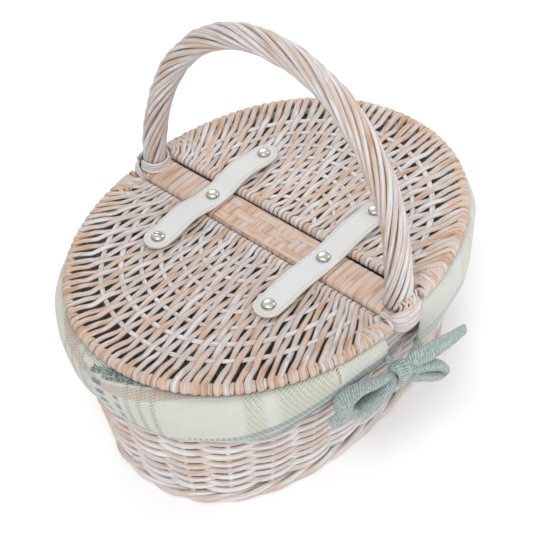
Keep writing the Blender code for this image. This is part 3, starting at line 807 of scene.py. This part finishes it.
class Lid:
    """Measures of one lid, with x counted outwards from the crossbar."""

    def __init__(self, name, side):
        self.name, self.side, self.body = name, side, f"{name}_lid"
        low, high = node_box(f"{name}_lid_hoop")
        rod_low, rod_high = node_box(f"{name}_lid_hinge_rod")
        self.z = (low[2] + high[2]) / 2
        self.hoop_radius = (high[2] - low[2]) / 2
        extra = BACK_LID_EXTRA if side > 0 else 0.0
        self.half_x = max(abs(low[0]), abs(high[0])) - self.hoop_radius + extra
        self.half_y = high[1] - self.hoop_radius
        self.rod_x = abs(rod_low[0] + rod_high[0]) / 2
        self.rod_radius = (rod_high[2] - rod_low[2]) / 2
        self.rod_reach = rod_high[1]
        self.rim = self.edge(1.0, self.rod_x - 2.9)
        self.steps = lengths_along(self.rim)
        self.length = self.steps[-1]
        self.pitch = (self.length - 2 * HOOP_MARGIN) / LID_PAIRS

    def place(self, points):
        """Points with x counted outwards, in the frame."""
        return np.asarray(points, float) * [self.side, 1, 1]

    def edge(self, scale, from_x):
        """The D's round edge from the near end to the far end, at a scale about the middle."""
        half_x = self.half_x * scale
        first = math.acos((from_x / half_x) ** (LID_SQUARENESS / 2))
        return oval(half_x, self.half_y * scale, np.linspace(-first, first, 500), LID_SQUARENESS)

    def scale_at(self, points):
        x, y = np.abs(points[:, 0]) / self.half_x, np.abs(points[:, 1]) / self.half_y
        return (x**LID_SQUARENESS + y**LID_SQUARENESS) ** (1 / LID_SQUARENESS)

    def rim_point(self, at):
        """Point and outward normal at a distance along the D's edge."""
        point, ahead, back = (
            np.array([np.interp(at + shift, self.steps, part) for part in self.rim.T])
            for shift in (0.0, 0.5, -0.5)
        )
        along = unit(ahead - back)
        return point, np.array([along[1], -along[0]])


def bezier(a, b, c, d, count):
    t = np.linspace(0, 1, count)[:, None]
    return a * (1 - t) ** 3 + 3 * b * t * (1 - t) ** 2 + 3 * c * t**2 * (1 - t) + d * t**3


def rod_arc(point, normal, z, radius, angle, shift):
    """Arc round a rod in the plane of a normal and Z, shifted along the rod, and its outward
    directions."""
    along = np.array([-normal[1], normal[0]])
    flat = point + normal * (radius * np.cos(angle))[:, None] + along * shift[:, None]
    up = np.column_stack([normal * np.cos(angle)[:, None], np.sin(angle)])
    return flat3(flat, z + radius * np.sin(angle)), up


def lid_weavers(lid, seed, material):
    """Strands from the hinge rod to the hoop, over and under the ribs and round both rods."""
    rng = np.random.default_rng(seed)
    rods = Rods(rng, sides=8)
    hoop_r = lid.hoop_radius - STRAND_THICK / 2
    rod_r = lid.rod_radius - STRAND_THICK / 2
    count = 2 * LID_PAIRS
    reach = lid.rod_reach - 2.0
    over_hoop = np.linspace(math.pi / 2, -(math.pi / 2 + 0.7), 13)
    over_rod = np.linspace(-(math.pi / 2 + 0.6), math.pi / 2, 11)
    for number in range(count):
        pair, second = divmod(number, 2)
        sign = -1 if second else 1
        at = HOOP_MARGIN + lid.pitch * (pair + 0.5) - 2.9 * sign + rng.uniform(-0.6, 0.6)
        point, normal = lid.rim_point(at)
        y = -reach + 2 * reach * (number + 0.5) / count + rng.uniform(-0.45, 0.45)
        start = np.array([lid.rod_x, y])
        span = np.linalg.norm(point - start)
        direct = (point - start) / span
        straight = smooth((abs(y) / reach - 0.35) / 0.45)
        leave = unit((1 - straight) * np.array([1.0, 0.0]) + (0.2 + straight) * direct)
        arrive = unit((1 - straight) * 0.4 * normal + (0.6 + 0.4 * straight) * direct)
        flat = bezier(start, start + leave * span * 0.36, point - arrive * span * 0.34, point, 200)
        flat = resample(flat, 2.2)
        scale = lid.scale_at(flat)
        steps = lengths_along(flat)
        wave = np.cos(math.pi * (RIB_SCALES[0] - scale) / RIB_STEP) * sign
        to_hoop = smooth((scale - 0.87) / 0.12)
        from_rod = 1 - smooth(steps / 6.0)
        z = WEAVE_DEPTH * signed_power(wave, 0.8) * (1 - to_hoop) + hoop_r * to_hoop
        z = z * (1 - from_rod) + rod_r * from_rod
        sway = 0.6 * wander(rng, len(flat), max(2, int(span / 14)))
        sway *= smooth(steps / 8.0) * smooth((steps[-1] - steps) / 8.0)
        across = unit(np.gradient(flat, axis=0))[:, ::-1] * [-1, 1]
        surface = flat3(flat + across * sway[:, None], lid.z + z)
        drift = np.linspace(0, rng.uniform(-0.6, 0.6), 13)
        end, end_up = rod_arc(point, normal, lid.z, hoop_r, over_hoop, drift)
        first, first_up = rod_arc(start, np.array([-1.0, 0.0]), lid.z, rod_r, over_rod, np.zeros(11))
        line = np.vstack([first[:-1], surface, end[1:]])
        up = np.vstack([first_up[:-1], np.broadcast_to(UP, surface.shape), end_up[1:]])
        spread = smooth((np.arange(len(line)) - 8) / 24)
        width = HINGE_WIDTH + (STRAND_WIDTHS[lid.name] - HINGE_WIDTH) * spread
        width = width * rng.uniform(0.9, 1.1) * (1 + 0.07 * wander(rng, len(line), 6))
        bare = np.concatenate([np.zeros(len(first) - 1), to_hoop, np.ones(len(end) - 1)])
        rods.add(
            lid.place(line), width, STRAND_THICK * rng.uniform(0.92, 1.08), up=lid.place(up),
            tone=rng.uniform(0, 1.2) - 0.9 * bare,
        )
    piece = rods.build(f"{lid.body}_weavers", material)
    register(piece, lid.body, "willow", f"{lid.body}_weave")


def lid_hoop(lid, seed, material):
    """Bare hoop stick, the wraps that fill it between the weavers, and bindings at its ends."""
    rng = np.random.default_rng(seed)
    rods = Rods(rng, sides=8)
    stick = flat3(resample(lid.rim, 4.0), lid.z)
    rods.add(lid.place(stick), 2 * (lid.hoop_radius - STRAND_THICK))
    last = lid.length - 1.0
    wraps = [(1.0, 3.0, 0.0), (last, 3.0, 0.0)]  # distance, width and how deep it is sunk
    for pair in range(LID_PAIRS):
        wraps.append((HOOP_MARGIN + lid.pitch * (pair + 0.5), 2.2, 0.7))
        wraps.append((HOOP_MARGIN + lid.pitch * (pair + 1), 3.3, 0.45))
    angle = circle(20)
    for at, width, sunk in wraps:
        point, normal = lid.rim_point(float(np.clip(at + rng.uniform(-0.3, 0.3), 1.0, last)))
        radius = lid.hoop_radius - STRAND_THICK / 2 - sunk
        shift = rng.uniform(0.3, 1.4) * np.cos(angle) / 2
        line, up = rod_arc(point, normal, lid.z, radius, angle, shift)
        rods.add(
            lid.place(line), width * rng.uniform(0.9, 1.1), STRAND_THICK, up=lid.place(up), closed=True,
            tone=rng.uniform(-0.6, 0.3),
        )
    register(rods.build(f"{lid.body}_hoop_wraps", material), lid.body, "willow", f"{lid.body}_hoop")


def lid_frame(lid, seed, material):
    """Hinge rod and the curved ribs, with the bindings that hold the corners."""
    rng = np.random.default_rng(seed)
    rods = Rods(rng, sides=8)
    along = np.linspace(-lid.rod_reach, lid.rod_reach, 30)
    stick = np.column_stack([np.full(30, lid.rod_x), along, np.full(30, lid.z)])
    rods.add(lid.place(stick), 2 * (lid.rod_radius - STRAND_THICK) + 0.3)
    for scale in RIB_SCALES:
        line = flat3(resample(lid.edge(scale, lid.rod_x + 1.0), 4.0), lid.z)
        width = RIB_WIDTH * rng.uniform(0.85, 1.1)
        rods.add(lid.place(line), width, RIB_THICK, tone=rng.uniform(1.4, 1.9))
    angle = circle(26)
    up = lid.place(np.column_stack([np.zeros(26), np.cos(angle), np.sin(angle) * 1.6]))
    for sign in SIDES.values():
        for k in range(6):
            x = lid.rod_x + 1.0 + 2.9 * k
            edge_y = lid.half_y * (1 - (x / lid.half_x) ** LID_SQUARENESS) ** (1 / LID_SQUARENESS)
            half = 4.6 + 0.35 * k
            y = half * np.cos(angle)
            line = np.column_stack([
                x + 1.1 * np.sin(angle + k) + 0.12 * y, sign * (edge_y - half + 3.4) + y,
                lid.z + 3.3 * np.sin(angle),
            ])
            rods.add(lid.place(line), 2.9, 2.0, up=up, closed=True)
    ribs = [f"{lid.body}_rib_{label}" for label in ("outer", "middle", "inner")]
    piece = rods.build(f"{lid.body}_frame", material)
    register(piece, lid.body, "willow", f"{lid.body}_hinge_rod", *ribs)


# Lining ----------------------------------------------------------------------------------------

SLITS = (-20.5, 10.0)  # gap in the skirt at the near foot, along X
FOLD_TOP = 122.0
HEM_Z = 83.4
# Height of the hem at distances round the rim from the front end; the near flap is drawn up
HEM_LINE = (
    (-190, 84), (-12, 82.5), (30, 85), (95, 85.5), (112, 86), (130, 88.5), (143, 92), (156, 96),
    (172, 100), (200, 97),
)
# (outset from the rim's edge, height) down the skirt, from the inside of the rim to the hem
SKIRT_PROFILE = (
    (-9.5, 121.2), (-6.0, 122.1), (-2.0, 122.0), (0.2, 120.6), (1.7, 117.0), (2.6, 112.0),
    (2.3, 104.0), (1.2, 95.0), (-0.4, 87.0), (-0.9, 84.4), (-1.5, 83.4), (-2.3, 84.4), (-2.2, 89.0),
)
SKIRT_COLUMNS = 720
BAG_COLUMNS = 360
BAG_FLOOR_RINGS = 16
BAG_INSET = 8.3  # from the wall's outer face to the cloth


def thicken(obj):
    """Give cloth its thickness."""
    solid = obj.modifiers.new("thickness", "SOLIDIFY")
    solid.thickness = CLOTH * MM
    solid.offset = 0.0
    solid.use_even_offset = True


def folds(share, depth, seed, number):
    """Soft folds round the rim: a few random waves in a share from 0 to 1."""
    rng = np.random.default_rng(seed)
    total = np.zeros_like(share)
    for _ in range(number):
        size = rng.uniform(0.4, 1.0)
        total += size * np.sin(FULL_TURN * (rng.integers(5, 26) * share + rng.uniform()))
    return total * depth / math.sqrt(number)


def build_skirt(half, material):
    """One half of the skirt: cloth over the rim, bulging out and falling to a turned hem."""
    front = half == "front"
    halves = -SKIRT_LOW[0] - 2.6, SKIRT_HIGH[1] - 2.6
    angle_at, length = even_angles(*halves, start=math.pi)
    share = np.linspace(0, 1, SKIRT_COLUMNS, endpoint=False)
    edge = oval(*halves, angle_at(share))
    near = edge[:, 1] < 0
    turned_x = np.where(near, edge[:, 0], -edge[:, 0])  # the far slit mirrors the near one
    before, after = turned_x < SLITS[0], turned_x > SLITS[1]
    keep = np.where(near == front, before, after)
    around = np.where(share > 0.5, share - 1.0, share) if front else share
    index = np.flatnonzero(keep)
    index = index[np.argsort(around[index])]
    around, edge = around[index] * length, edge[index]
    normal = oval_normal(edge, *halves)
    profile = resample(SKIRT_PROFILE, 1.3)
    fold = int(np.argmin(np.linalg.norm(profile - [-2.0, FOLD_TOP], axis=1)))
    hem_row = int(np.argmin(profile[:, 1]))
    ripple, slow = folds(share[index], 0.9, 21, 9), folds(share[index], 0.8, 22, 4)
    hem_z = np.interp(around, *np.array(HEM_LINE, float).T) if front else HEM_Z
    stretch = (FOLD_TOP - hem_z) / (FOLD_TOP - HEM_Z)
    verts = np.zeros((len(profile), len(edge), 3))
    for row, (outset, z) in enumerate(profile):
        low = smooth((FOLD_TOP - z) / 32.0)
        puff = smooth((FOLD_TOP - z) / 12.0)
        move = outset + ripple * low * 1.2 + slow * puff * 0.8
        height = FOLD_TOP + (z - FOLD_TOP) * stretch + 0.6 * slow * low
        verts[row] = flat3(edge + normal * move[:, None], height)
    down = np.cumsum(np.linalg.norm(np.diff(verts, axis=0, prepend=verts[:1]), axis=2), axis=0)
    above_hem = np.where(np.arange(len(profile))[:, None] <= hem_row, down[hem_row] - down, 0.0)
    at = np.stack([np.broadcast_to(around, down.shape), down - down[fold]], axis=-1).reshape(-1, 2) * MM
    faces = grid_faces(len(profile), len(edge), closed=False)
    uvs = at[np.array(faces).ravel()]
    piece = add_mesh(f"skirt_{half}", verts.reshape(-1, 3), faces, material, uvs)
    point_values(piece, "above_hem", above_hem * MM)
    thicken(piece)
    register(piece, "basket", "lining_cloth", f"lining_skirt_{half}")


def build_bag(material):
    """Cloth floor and side inside the basket, up to the fold over the rim."""
    floor_z, top = BASE_HIGH[2] + 1.2, WALL_HIGH[2]
    angle_at, length = even_angles(*wall_half(60.0), start=math.pi)
    angle = angle_at(np.linspace(0, 1, BAG_COLUMNS, endpoint=False))
    wrinkle = folds(np.linspace(0, 1, BAG_COLUMNS, endpoint=False), 0.5, 23, 10)
    rings, down = [], []
    floor_edge, _ = wall_points(angle, floor_z, BAG_INSET + 2.0)
    for reach in np.linspace(0.06, 0.985, BAG_FLOOR_RINGS):
        rings.append(flat3(floor_edge[:, :2] * reach, floor_z + 0.25 * wrinkle * reach))
        down.append(0.2 - 0.1 * reach)
    for z in np.linspace(floor_z + 0.2, top, 34):
        high = smooth((z - floor_z) / 8.0)
        inset = BAG_INSET + 1.4 * (1 - high) + np.abs(wrinkle) * high * 0.8
        rings.append(wall_points(angle, z, inset)[0])
        down.append((top - z) * MM)
    for z in (114.0, 116.6, 118.4):
        ring, _ = wall_points(angle, top, BAG_INSET - 0.15 * (z - top))
        rings.append(flat3(ring[:, :2], z))
        down.append((top - z) * MM)
    for outset, z in ((-6.2, 120.2), (-4.4, 121.1), (-2.2, 121.3), (-0.6, 121.1)):
        rings.append(flat3(wall_points(angle, top, -outset)[0][:, :2], z))
        down.append(-0.012)
    verts = np.concatenate(rings)
    corner = np.array(grid_faces(len(rings), BAG_COLUMNS, closed=True))
    x, y, z = np.abs(verts[corner].mean(1) - [HANDLE_X, 0.0, 0.0]).T
    corner = corner[(x >= 12.5) | (y <= 104.5) | (z <= top - 1)]  # notches for the handle's feet
    u = corner % BAG_COLUMNS / BAG_COLUMNS
    u = (u + ((u.max(1) - u.min(1) > 0.5)[:, None] & (u < 0.5))) * length * MM
    from_above = verts[:, :2] * MM + [0.05, 0.02]
    on_floor = (corner.max(1) < BAG_FLOOR_RINGS * BAG_COLUMNS)[:, None, None]
    around = np.stack([u, np.array(down)[corner // BAG_COLUMNS]], axis=-1)
    uvs = np.where(on_floor, from_above[corner], around)
    cap = np.arange(BAG_COLUMNS)[::-1]
    uvs = np.concatenate([uvs.reshape(-1, 2), from_above[cap]])
    piece = add_mesh("lining_bag", verts, [*corner, cap], material, uvs)
    thicken(piece)
    register(piece, "basket", "lining_cloth", "lining_floor", "lining_side")


# Ties ------------------------------------------------------------------------------------------

KNOT = np.array([-22.0, -127.0, 98.0])
# Each strip of the near bow: width, thickness and how much wider it gets along its route
BOW_STRIPS = {
    "front_loop": (
        (9.5, 4.2, 0.9),
        ((-25, -127, 99.5), (-38, -125, 102.5), (-50, -121, 104), (-58, -117.5, 101.5),
         (-61, -115.5, 95.5), (-59, -115.5, 87.5), (-52, -118, 82.5), (-43, -122, 85.5),
         (-33, -125, 91), (-24, -127, 95)),
    ),
    "back_loop": (
        (11.5, 7.0, 0.1),
        ((-21, -128, 99), (-14, -131, 97), (-3, -134, 91.5), (7, -135, 83), (12, -134.5, 75),
         (8, -134, 72), (-2, -133.5, 80.5), (-12, -131, 88), (-21, -127.5, 94)),
    ),
    "long_tail": (
        (12.5, 5.0, -0.4),
        ((-20, -128, 99), (-14, -132, 104), (-5, -135.5, 105.5), (7, -138, 104.5), (19, -138, 101),
         (32, -138, 97)),
    ),
    "short_tail": (
        (10.0, 4.4, 0.0),
        ((-25, -124, 93), (-35, -120.5, 87), (-46, -117.5, 84), (-58, -115, 83), (-70, -112.5, 81)),
    ),
}
# Narrow ties from the two lower corners of the skirt to the knot
TIE_ENDS = (
    ((-20, -118, 104), (-22, -121, 103), (-22.5, -125, 100)),
    ((11, -118.5, 90), (3, -121, 92), (-9, -125, 96), (-18, -128, 98)),
)


def curve_through(points, spacing=1.6):
    """Catmull-Rom line through given points."""
    route = np.array(points, float)
    route = [2 * route[0] - route[1], *route, 2 * route[-1] - route[-2]]
    t = np.linspace(0, 1, 12, endpoint=False)[:, None]
    line = [
        b + ((c - a) * t + (2 * a - 5 * b + 4 * c - d) * t**2 + (3 * b - a - 3 * c + d) * t**3) / 2
        for a, b, c, d in zip(route, route[1:], route[2:], route[3:])
    ]
    return resample(np.vstack([*line, route[-2]]), spacing)


def crease(piece):
    """Soft creases pressed into folded cloth, as a displacement along the normals."""
    texture = bpy.data.textures.new(piece.name + "_creases", "CLOUDS")
    texture.noise_scale = 0.009
    push = piece.modifiers.new("creases", "DISPLACE")
    push.texture = texture
    push.texture_coords = "LOCAL"
    push.strength = 0.0016
    push.mid_level = 0.5


def build_bow(label, turn, material):
    """Knot, loops and tails of one tie; the strips are folded cloth, flat where they lie out."""
    strips = []
    rng = np.random.default_rng(31)
    outward = unit([0.0, -1.0, 0.35])
    for part, ((width, thick, widening), route) in BOW_STRIPS.items():
        rods = Rods(rng, sides=18)
        loop = "loop" in part
        line = curve_through(route)
        count = len(line)
        t = np.linspace(0, 1, count)
        pinch = 0.5 + 0.5 * smooth(t / 0.22) * (smooth((1 - t) / 0.22) if loop else 1.0)
        widths = width * pinch * (1 + widening * t + 0.05 * wander(rng, count, 6))
        thicks = thick * (1 + 0.12 * wander(rng, count, 7))
        thicks = thicks * (1 + 2.2 * widening * t if loop else 1 - 0.35 * t)
        up = unit(np.cross(unit(np.gradient(line, axis=0)), outward)) if loop else outward
        rods.add(line, widths, thicks, up=unit(up + 0.25 * wander(rng, count, 4)[:, None]))
        piece = rods.build(f"tie_{label}_{part}", material)
        crease(piece)
        laid_flat = float(np.mean(np.hypot(widths, thicks))) * math.pi / 2 / math.sqrt(2)
        length = float(lengths_along(line)[-1])
        strips.append((piece, f"bow_{label}_{part}", (laid_flat * MM, length * MM)))
    rods = Rods(rng, sides=14)
    angle = circle(34)
    up = np.column_stack([np.zeros(34), -np.cos(angle), np.sin(angle)])
    for shift, height in ((-2.6, 5.6), (2.4, 6.0)):
        x, y = shift + 0.6 * np.sin(angle), -1.5 - 4.4 * np.cos(angle)
        wrap = np.column_stack([x, y, 6.2 * np.sin(angle) * (height / 6.0)])
        rods.add(KNOT + wrap, 6.4, 4.6, up=up, closed=True)
    for route in TIE_ENDS:
        line = curve_through(route)
        rods.add(line, 6.0 + 0.5 * wander(rng, len(line), 3), 2.6, up=outward)
    knot = rods.build(f"tie_{label}_knot", material)
    for piece, node, _ in [(knot, f"bow_{label}_knot", None), *strips]:
        piece.data.transform(turn)
        register(piece, "basket", "tie_cloth", node)


# Straps and rivets -----------------------------------------------------------------------------

# Section of a strap: shares of its inner half width and of its full half width, and of its height
FLAT_SHARES = np.sin(np.linspace(-0.5, 0.5, 9) * math.pi)
STRAP_SECTION = np.array(
    [(a, 0, 1) for a in FLAT_SHARES] + [(0, 1, 0.78), (0, 1, 0.22)]
    + [(-a, 0, 0) for a in FLAT_SHARES] + [(0, -1, 0.22), (0, -1, 0.78)]
)
STITCH, STITCH_GAP = 3, 1  # in steps of the seam's line


def strap_height(x, lid, label):
    """Height of the strap's underside at a distance from the middle rivet towards a lid."""
    low_middle = node_box("strap_near_middle")[0][2]
    low_end = node_box(f"strap_near_{lid.name}")[0][2]
    share = smooth((x - 5.0) / (RIVET_X - 10.0))
    hump = STRAP_HUMPS[label] * np.sin(math.pi * np.clip((x - 5.5) / (RIVET_X - 11.0), 0, 1)) ** 1.5
    return low_middle + (low_end - low_middle) * share + hump


def build_strap(label, y, lid, material, thread_material):
    """Half of a strap, from the middle rivet to the end on one lid, with its stitches."""
    name = f"strap_{label}_{lid.name}"
    end = max(abs(corner[0]) for corner in node_box(name))
    half = STRAP_WIDTH / 2
    centre = end - half
    round_end = centre + half * np.sin(np.linspace(0, math.pi / 2, 13)[1:])
    x = np.concatenate([np.linspace(0, centre, 44), round_end])
    wide = np.where(x <= centre, half, np.sqrt(np.maximum(half**2 - (x - centre) ** 2, 0.15)))
    inner_share, wide_share, height_share = STRAP_SECTION.T
    across = np.outer(np.maximum(wide - 0.5, 0.3), inner_share) + np.outer(wide, wide_share)
    height = strap_height(x, lid, label)[:, None] + STRAP_THICK * height_share
    ring = len(STRAP_SECTION)
    verts = np.stack([np.repeat(x[:, None], ring, axis=1), across, height], axis=-1).reshape(-1, 3)
    faces = grid_faces(len(x), ring, closed=True)
    faces += [list(range(ring))[::-1], [(len(x) - 1) * ring + j for j in range(ring)]]
    if lid.side > 0:
        faces = [face[::-1] for face in faces]
    past = verts[:, 0] > centre
    from_middle = np.hypot(np.where(past, verts[:, 0] - centre, 0.0), verts[:, 1]) / half
    uvs = [(verts[k, 0] * MM, from_middle[k]) for face in faces for k in face]
    shift = [0, y, 0]
    placed = lid.place(verts) + shift
    leather_piece = add_mesh(f"{name}_leather", placed, faces, material, uvs, sharp=50)

    rods = Rods(np.random.default_rng(41), sides=5)
    inset = half - 1.9
    turn = np.linspace(0, math.pi, 34)
    out, back = np.arange(1.5, centre, 0.8), np.arange(centre, 1.5, -0.8)
    path = resample(np.vstack([
        np.column_stack([out, np.full(len(out), inset)]),
        np.column_stack([centre + inset * np.sin(turn), inset * np.cos(turn)]),
        np.column_stack([back, np.full(len(back), -inset)]),
    ]), 0.7)
    for low in range(0, len(path) - STITCH - 1, STITCH + STITCH_GAP):
        part = path[low:low + STITCH + 1]
        lift = STRAP_THICK + np.sin(np.linspace(0, math.pi, len(part))) * 0.16
        rods.add(lid.place(flat3(part, strap_height(part[:, 0], lid, label) + lift)) + shift, 0.5, 0.4)
    stitches = rods.build(f"{name}_stitches", thread_material)
    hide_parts(name, *([f"strap_{label}_middle"] if lid.side < 0 else []))
    for piece in (leather_piece, stitches):
        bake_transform(piece)


def turned(name, profile, centre, material, sides=40):
    """Closed solid from a profile of (radius, z) turned about a vertical axis."""
    round_once = np.column_stack([np.cos(circle(sides)), np.sin(circle(sides))])
    rings = [flat3(centre + r * round_once, z) for r, z in profile[1:-1]]
    verts = np.vstack([[*centre, profile[0][1]], *rings, [*centre, profile[-1][1]]])
    last, lowest = len(verts) - 1, 1 + (len(rings) - 1) * sides
    faces = []
    for j in range(sides):
        k = (j + 1) % sides
        faces += [(0, 1 + j, 1 + k), (last, lowest + k, lowest + j)]
        for a in range(1, lowest, sides):
            faces.append((a + j, a + sides + j, a + sides + k, a + k))
    return add_mesh(name, verts, faces, material, sharp=40)


def slot_cut(piece, centre, top):
    """Screwdriver slot across a rivet's dome."""
    mesh = bpy.data.meshes.new("slot")
    bm = bmesh.new()
    bmesh.ops.create_cube(bm, size=1.0)
    bmesh.ops.scale(bm, verts=bm.verts, vec=(0.0011, 0.014, 0.0018))
    bm.to_mesh(mesh)
    bm.free()
    cutter = bpy.data.objects.new("slot_cutter", mesh)
    cutter.location = Vector((*centre, top)) * MM
    cutter.rotation_euler.z = math.radians(24)
    cutter.hide_render = True
    bpy.context.scene.collection.objects.link(cutter)
    cut = piece.modifiers.new("slot", "BOOLEAN")
    cut.object = cutter
    cut.operation = "DIFFERENCE"
    bpy.context.view_layer.update()
    shaped = bpy.data.meshes.new_from_object(piece.evaluated_get(bpy.context.evaluated_depsgraph_get()))
    piece.modifiers.remove(cut)
    piece.data = shaped
    bpy.data.objects.remove(cutter)


def build_rivet(node, body, material):
    """Domed cap on a low flange, with the shank that runs down to its washer."""
    low, high = node_box(node)
    centre = ((low[0] + high[0]) / 2, (low[1] + high[1]) / 2)
    radius, shank = (high[0] - low[0]) / 2, 1.5
    seat = high[2] - 2.6
    dome = [
        (radius * 0.93 * math.sin(angle), seat + 0.55 + 2.15 * math.cos(angle))
        for angle in math.pi / 2 * np.arange(1, 9) / 9
    ]
    flange = [(radius * 0.94, seat + 0.5), (radius, seat + 0.38), (radius, seat), (shank, seat)]
    profile = [(0.0, high[2] + 0.1), *dome, *flange, (shank, low[2]), (0.0, low[2])]
    piece = turned(node + "_cap", profile, centre, material)
    if node == "rivet_far_front":
        slot_cut(piece, centre, high[2])
    register(piece, body, "nickel", node)


# Stage -----------------------------------------------------------------------------------------


def build_camera():
    """Camera above the front lid's near side, looking down at the whole basket."""
    azimuth, elevation, roll = math.radians(-42.0), math.radians(44.7), math.radians(-7.4)
    distance, aim_x, aim_y, middle_z = 767.7, -0.1, -24.6, 129.0
    focal_px, image_px, sensor = 1157.1, 533.0, 36.0
    level = Vector((math.sin(azimuth), -math.cos(azimuth), 0.0))
    back = level * math.cos(elevation) + Vector((0.0, 0.0, math.sin(elevation)))
    right = Vector((math.cos(azimuth), math.sin(azimuth), 0.0))
    above = back.cross(right)
    rolled_right = right * math.cos(roll) + above * math.sin(roll)
    rolled_up = above * math.cos(roll) - right * math.sin(roll)
    data = bpy.data.cameras.new("camera")
    data.sensor_width = sensor
    data.lens = focal_px * sensor / image_px
    data.clip_start, data.clip_end = 0.01, 20.0
    camera = bpy.data.objects.new("camera", data)
    place = (rolled_right * aim_x + rolled_up * aim_y + back * distance + Vector((0, 0, middle_z))) * MM
    turn = Matrix((rolled_right, rolled_up, back)).transposed().to_4x4()
    camera.matrix_world = Matrix.Translation(place) @ turn
    bpy.context.scene.collection.objects.link(camera)
    bpy.context.scene.camera = camera


# Place in metres, size in metres and power in watts of each round light
LIGHTS = {
    "key": ((-0.9, -0.5, 1.7), 0.9, 15.5),
    "fill": ((-0.5, -1.7, 0.7), 1.4, 9.0),
    "rim": ((0.9, 1.3, 1.3), 1.2, 9.0),
    "side": ((1.5, -0.8, 0.7), 1.0, 6.0),
}
FLOOR_REACH = 6000.0


def build_lights():
    """Round lights that face the middle of the basket."""
    for name, (place, size, power) in LIGHTS.items():
        data = bpy.data.lights.new(name, "AREA")
        data.shape, data.size, data.energy = "DISK", size, power
        light = bpy.data.objects.new(name, data)
        light.location = place
        way = Vector((0.0, 0.0, 0.1)) - Vector(place)
        light.rotation_euler = way.to_track_quat("-Z", "Y").to_euler()
        bpy.context.scene.collection.objects.link(light)


def build_stage():
    """White floor, and a white sky that is dimmer towards the horizon."""
    g = Graph("floor_white")
    white = g.mix(g.noise(g.place(), 3.0), (0.93, 0.93, 0.93, 1.0), (0.96, 0.96, 0.96, 1.0))
    corners = [(x * FLOOR_REACH, y * FLOOR_REACH, 0.0) for x, y in ((-1, -1), (1, -1), (1, 1), (-1, 1))]
    add_mesh("floor", corners, [(0, 1, 2, 3)], g.finish(white, 0.9))

    world = bpy.data.worlds.new("studio")
    world.use_nodes = True
    tree = world.node_tree
    sky = tree.nodes["Background"]
    sky.inputs["Color"].default_value = (1.0, 1.0, 1.0, 1.0)
    place = tree.nodes.new("ShaderNodeTexCoord")
    split = tree.nodes.new("ShaderNodeSeparateXYZ")
    rise = tree.nodes.new("ShaderNodeMapRange")
    for key, value in {"From Min": 0.0, "From Max": 0.8, "To Min": 0.5, "To Max": 0.76}.items():
        rise.inputs[key].default_value = value
    tree.links.new(place.outputs["Generated"], split.inputs[0])
    tree.links.new(split.outputs["Z"], rise.inputs["Value"])
    tree.links.new(rise.outputs[0], sky.inputs["Strength"])
    bpy.context.scene.world = world
    bpy.context.scene.view_settings.view_transform = "Standard"


def build_body():
    wall = willow("willow_wall", pale=0.07, bright=1.10)
    handle = willow("willow_handle", pale=0.03, bright=1.03)
    build_wall(wall)
    build_foot(wall)
    build_base(wall)
    build_crossbar(willow("willow_skein", pale=-0.10, streak=0.8, contrast=0.6))
    build_handle(handle)
    for label in SIDES:
        build_lashing(label, handle)


def build_lids(plate):
    white_leather, stitches = leather("white_leather"), thread("strap_thread")
    # The back lid's willow is made brighter than the front lid's as painted light, to even out the
    # shading that the back lid gets.
    for number, (name, side, bright) in enumerate((("front", -1, 0.98), ("back", 1, 1.08))):
        lid, material = Lid(name, side), willow(f"willow_{name}_lid", bright=bright)
        lid_weavers(lid, 51 + number, material)
        lid_hoop(lid, 53 + number, material)
        lid_frame(lid, 55 + number, material)
        for label, way in SIDES.items():
            build_strap(label, way * STRAP_Y, lid, white_leather, stitches)
            build_rivet(f"rivet_{label}_{name}", lid.body, plate)
    for label in SIDES:
        build_rivet(f"rivet_{label}_middle", "basket", plate)


def build_lining():
    cloth = plaid("lining_plaid", RIM_GIRTH * MM)
    for half in ("front", "back"):
        build_skirt(half, cloth)
    # The lining inside the basket is the same plaid, darkened as painted shade so that the gaps in the
    # lids look dark.
    build_bag(plaid("lining_inside_painted_shade", RIM_GIRTH * MM, painted_shade_factor=0.68))
    tie = twill_tie("tie_twill")
    build_bow("near", Matrix.Identity(4), tie)
    build_bow("far", Matrix.Rotation(math.pi, 4, "Z"), tie)


def finish_nodes(plate):
    """Materials for the CAD nodes that stay in view."""
    core = willow("willow_core", pale=0.04, from_uv=False)
    finishes = dict.fromkeys(("crossbar_core", "handle_core", "rim_border"), core)
    for place in ("front", "middle", "back"):
        finishes |= {f"washer_{label}_{place}": plate for label in SIDES}
    for node, material in finishes.items():
        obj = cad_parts[node]
        obj.data.materials.clear()
        obj.data.materials.append(material)


def main():
    plate = nickel("nickel_plate")
    build_camera()
    build_body()
    build_lids(plate)
    build_lining()
    finish_nodes(plate)
    build_lights()
    build_stage()


main()
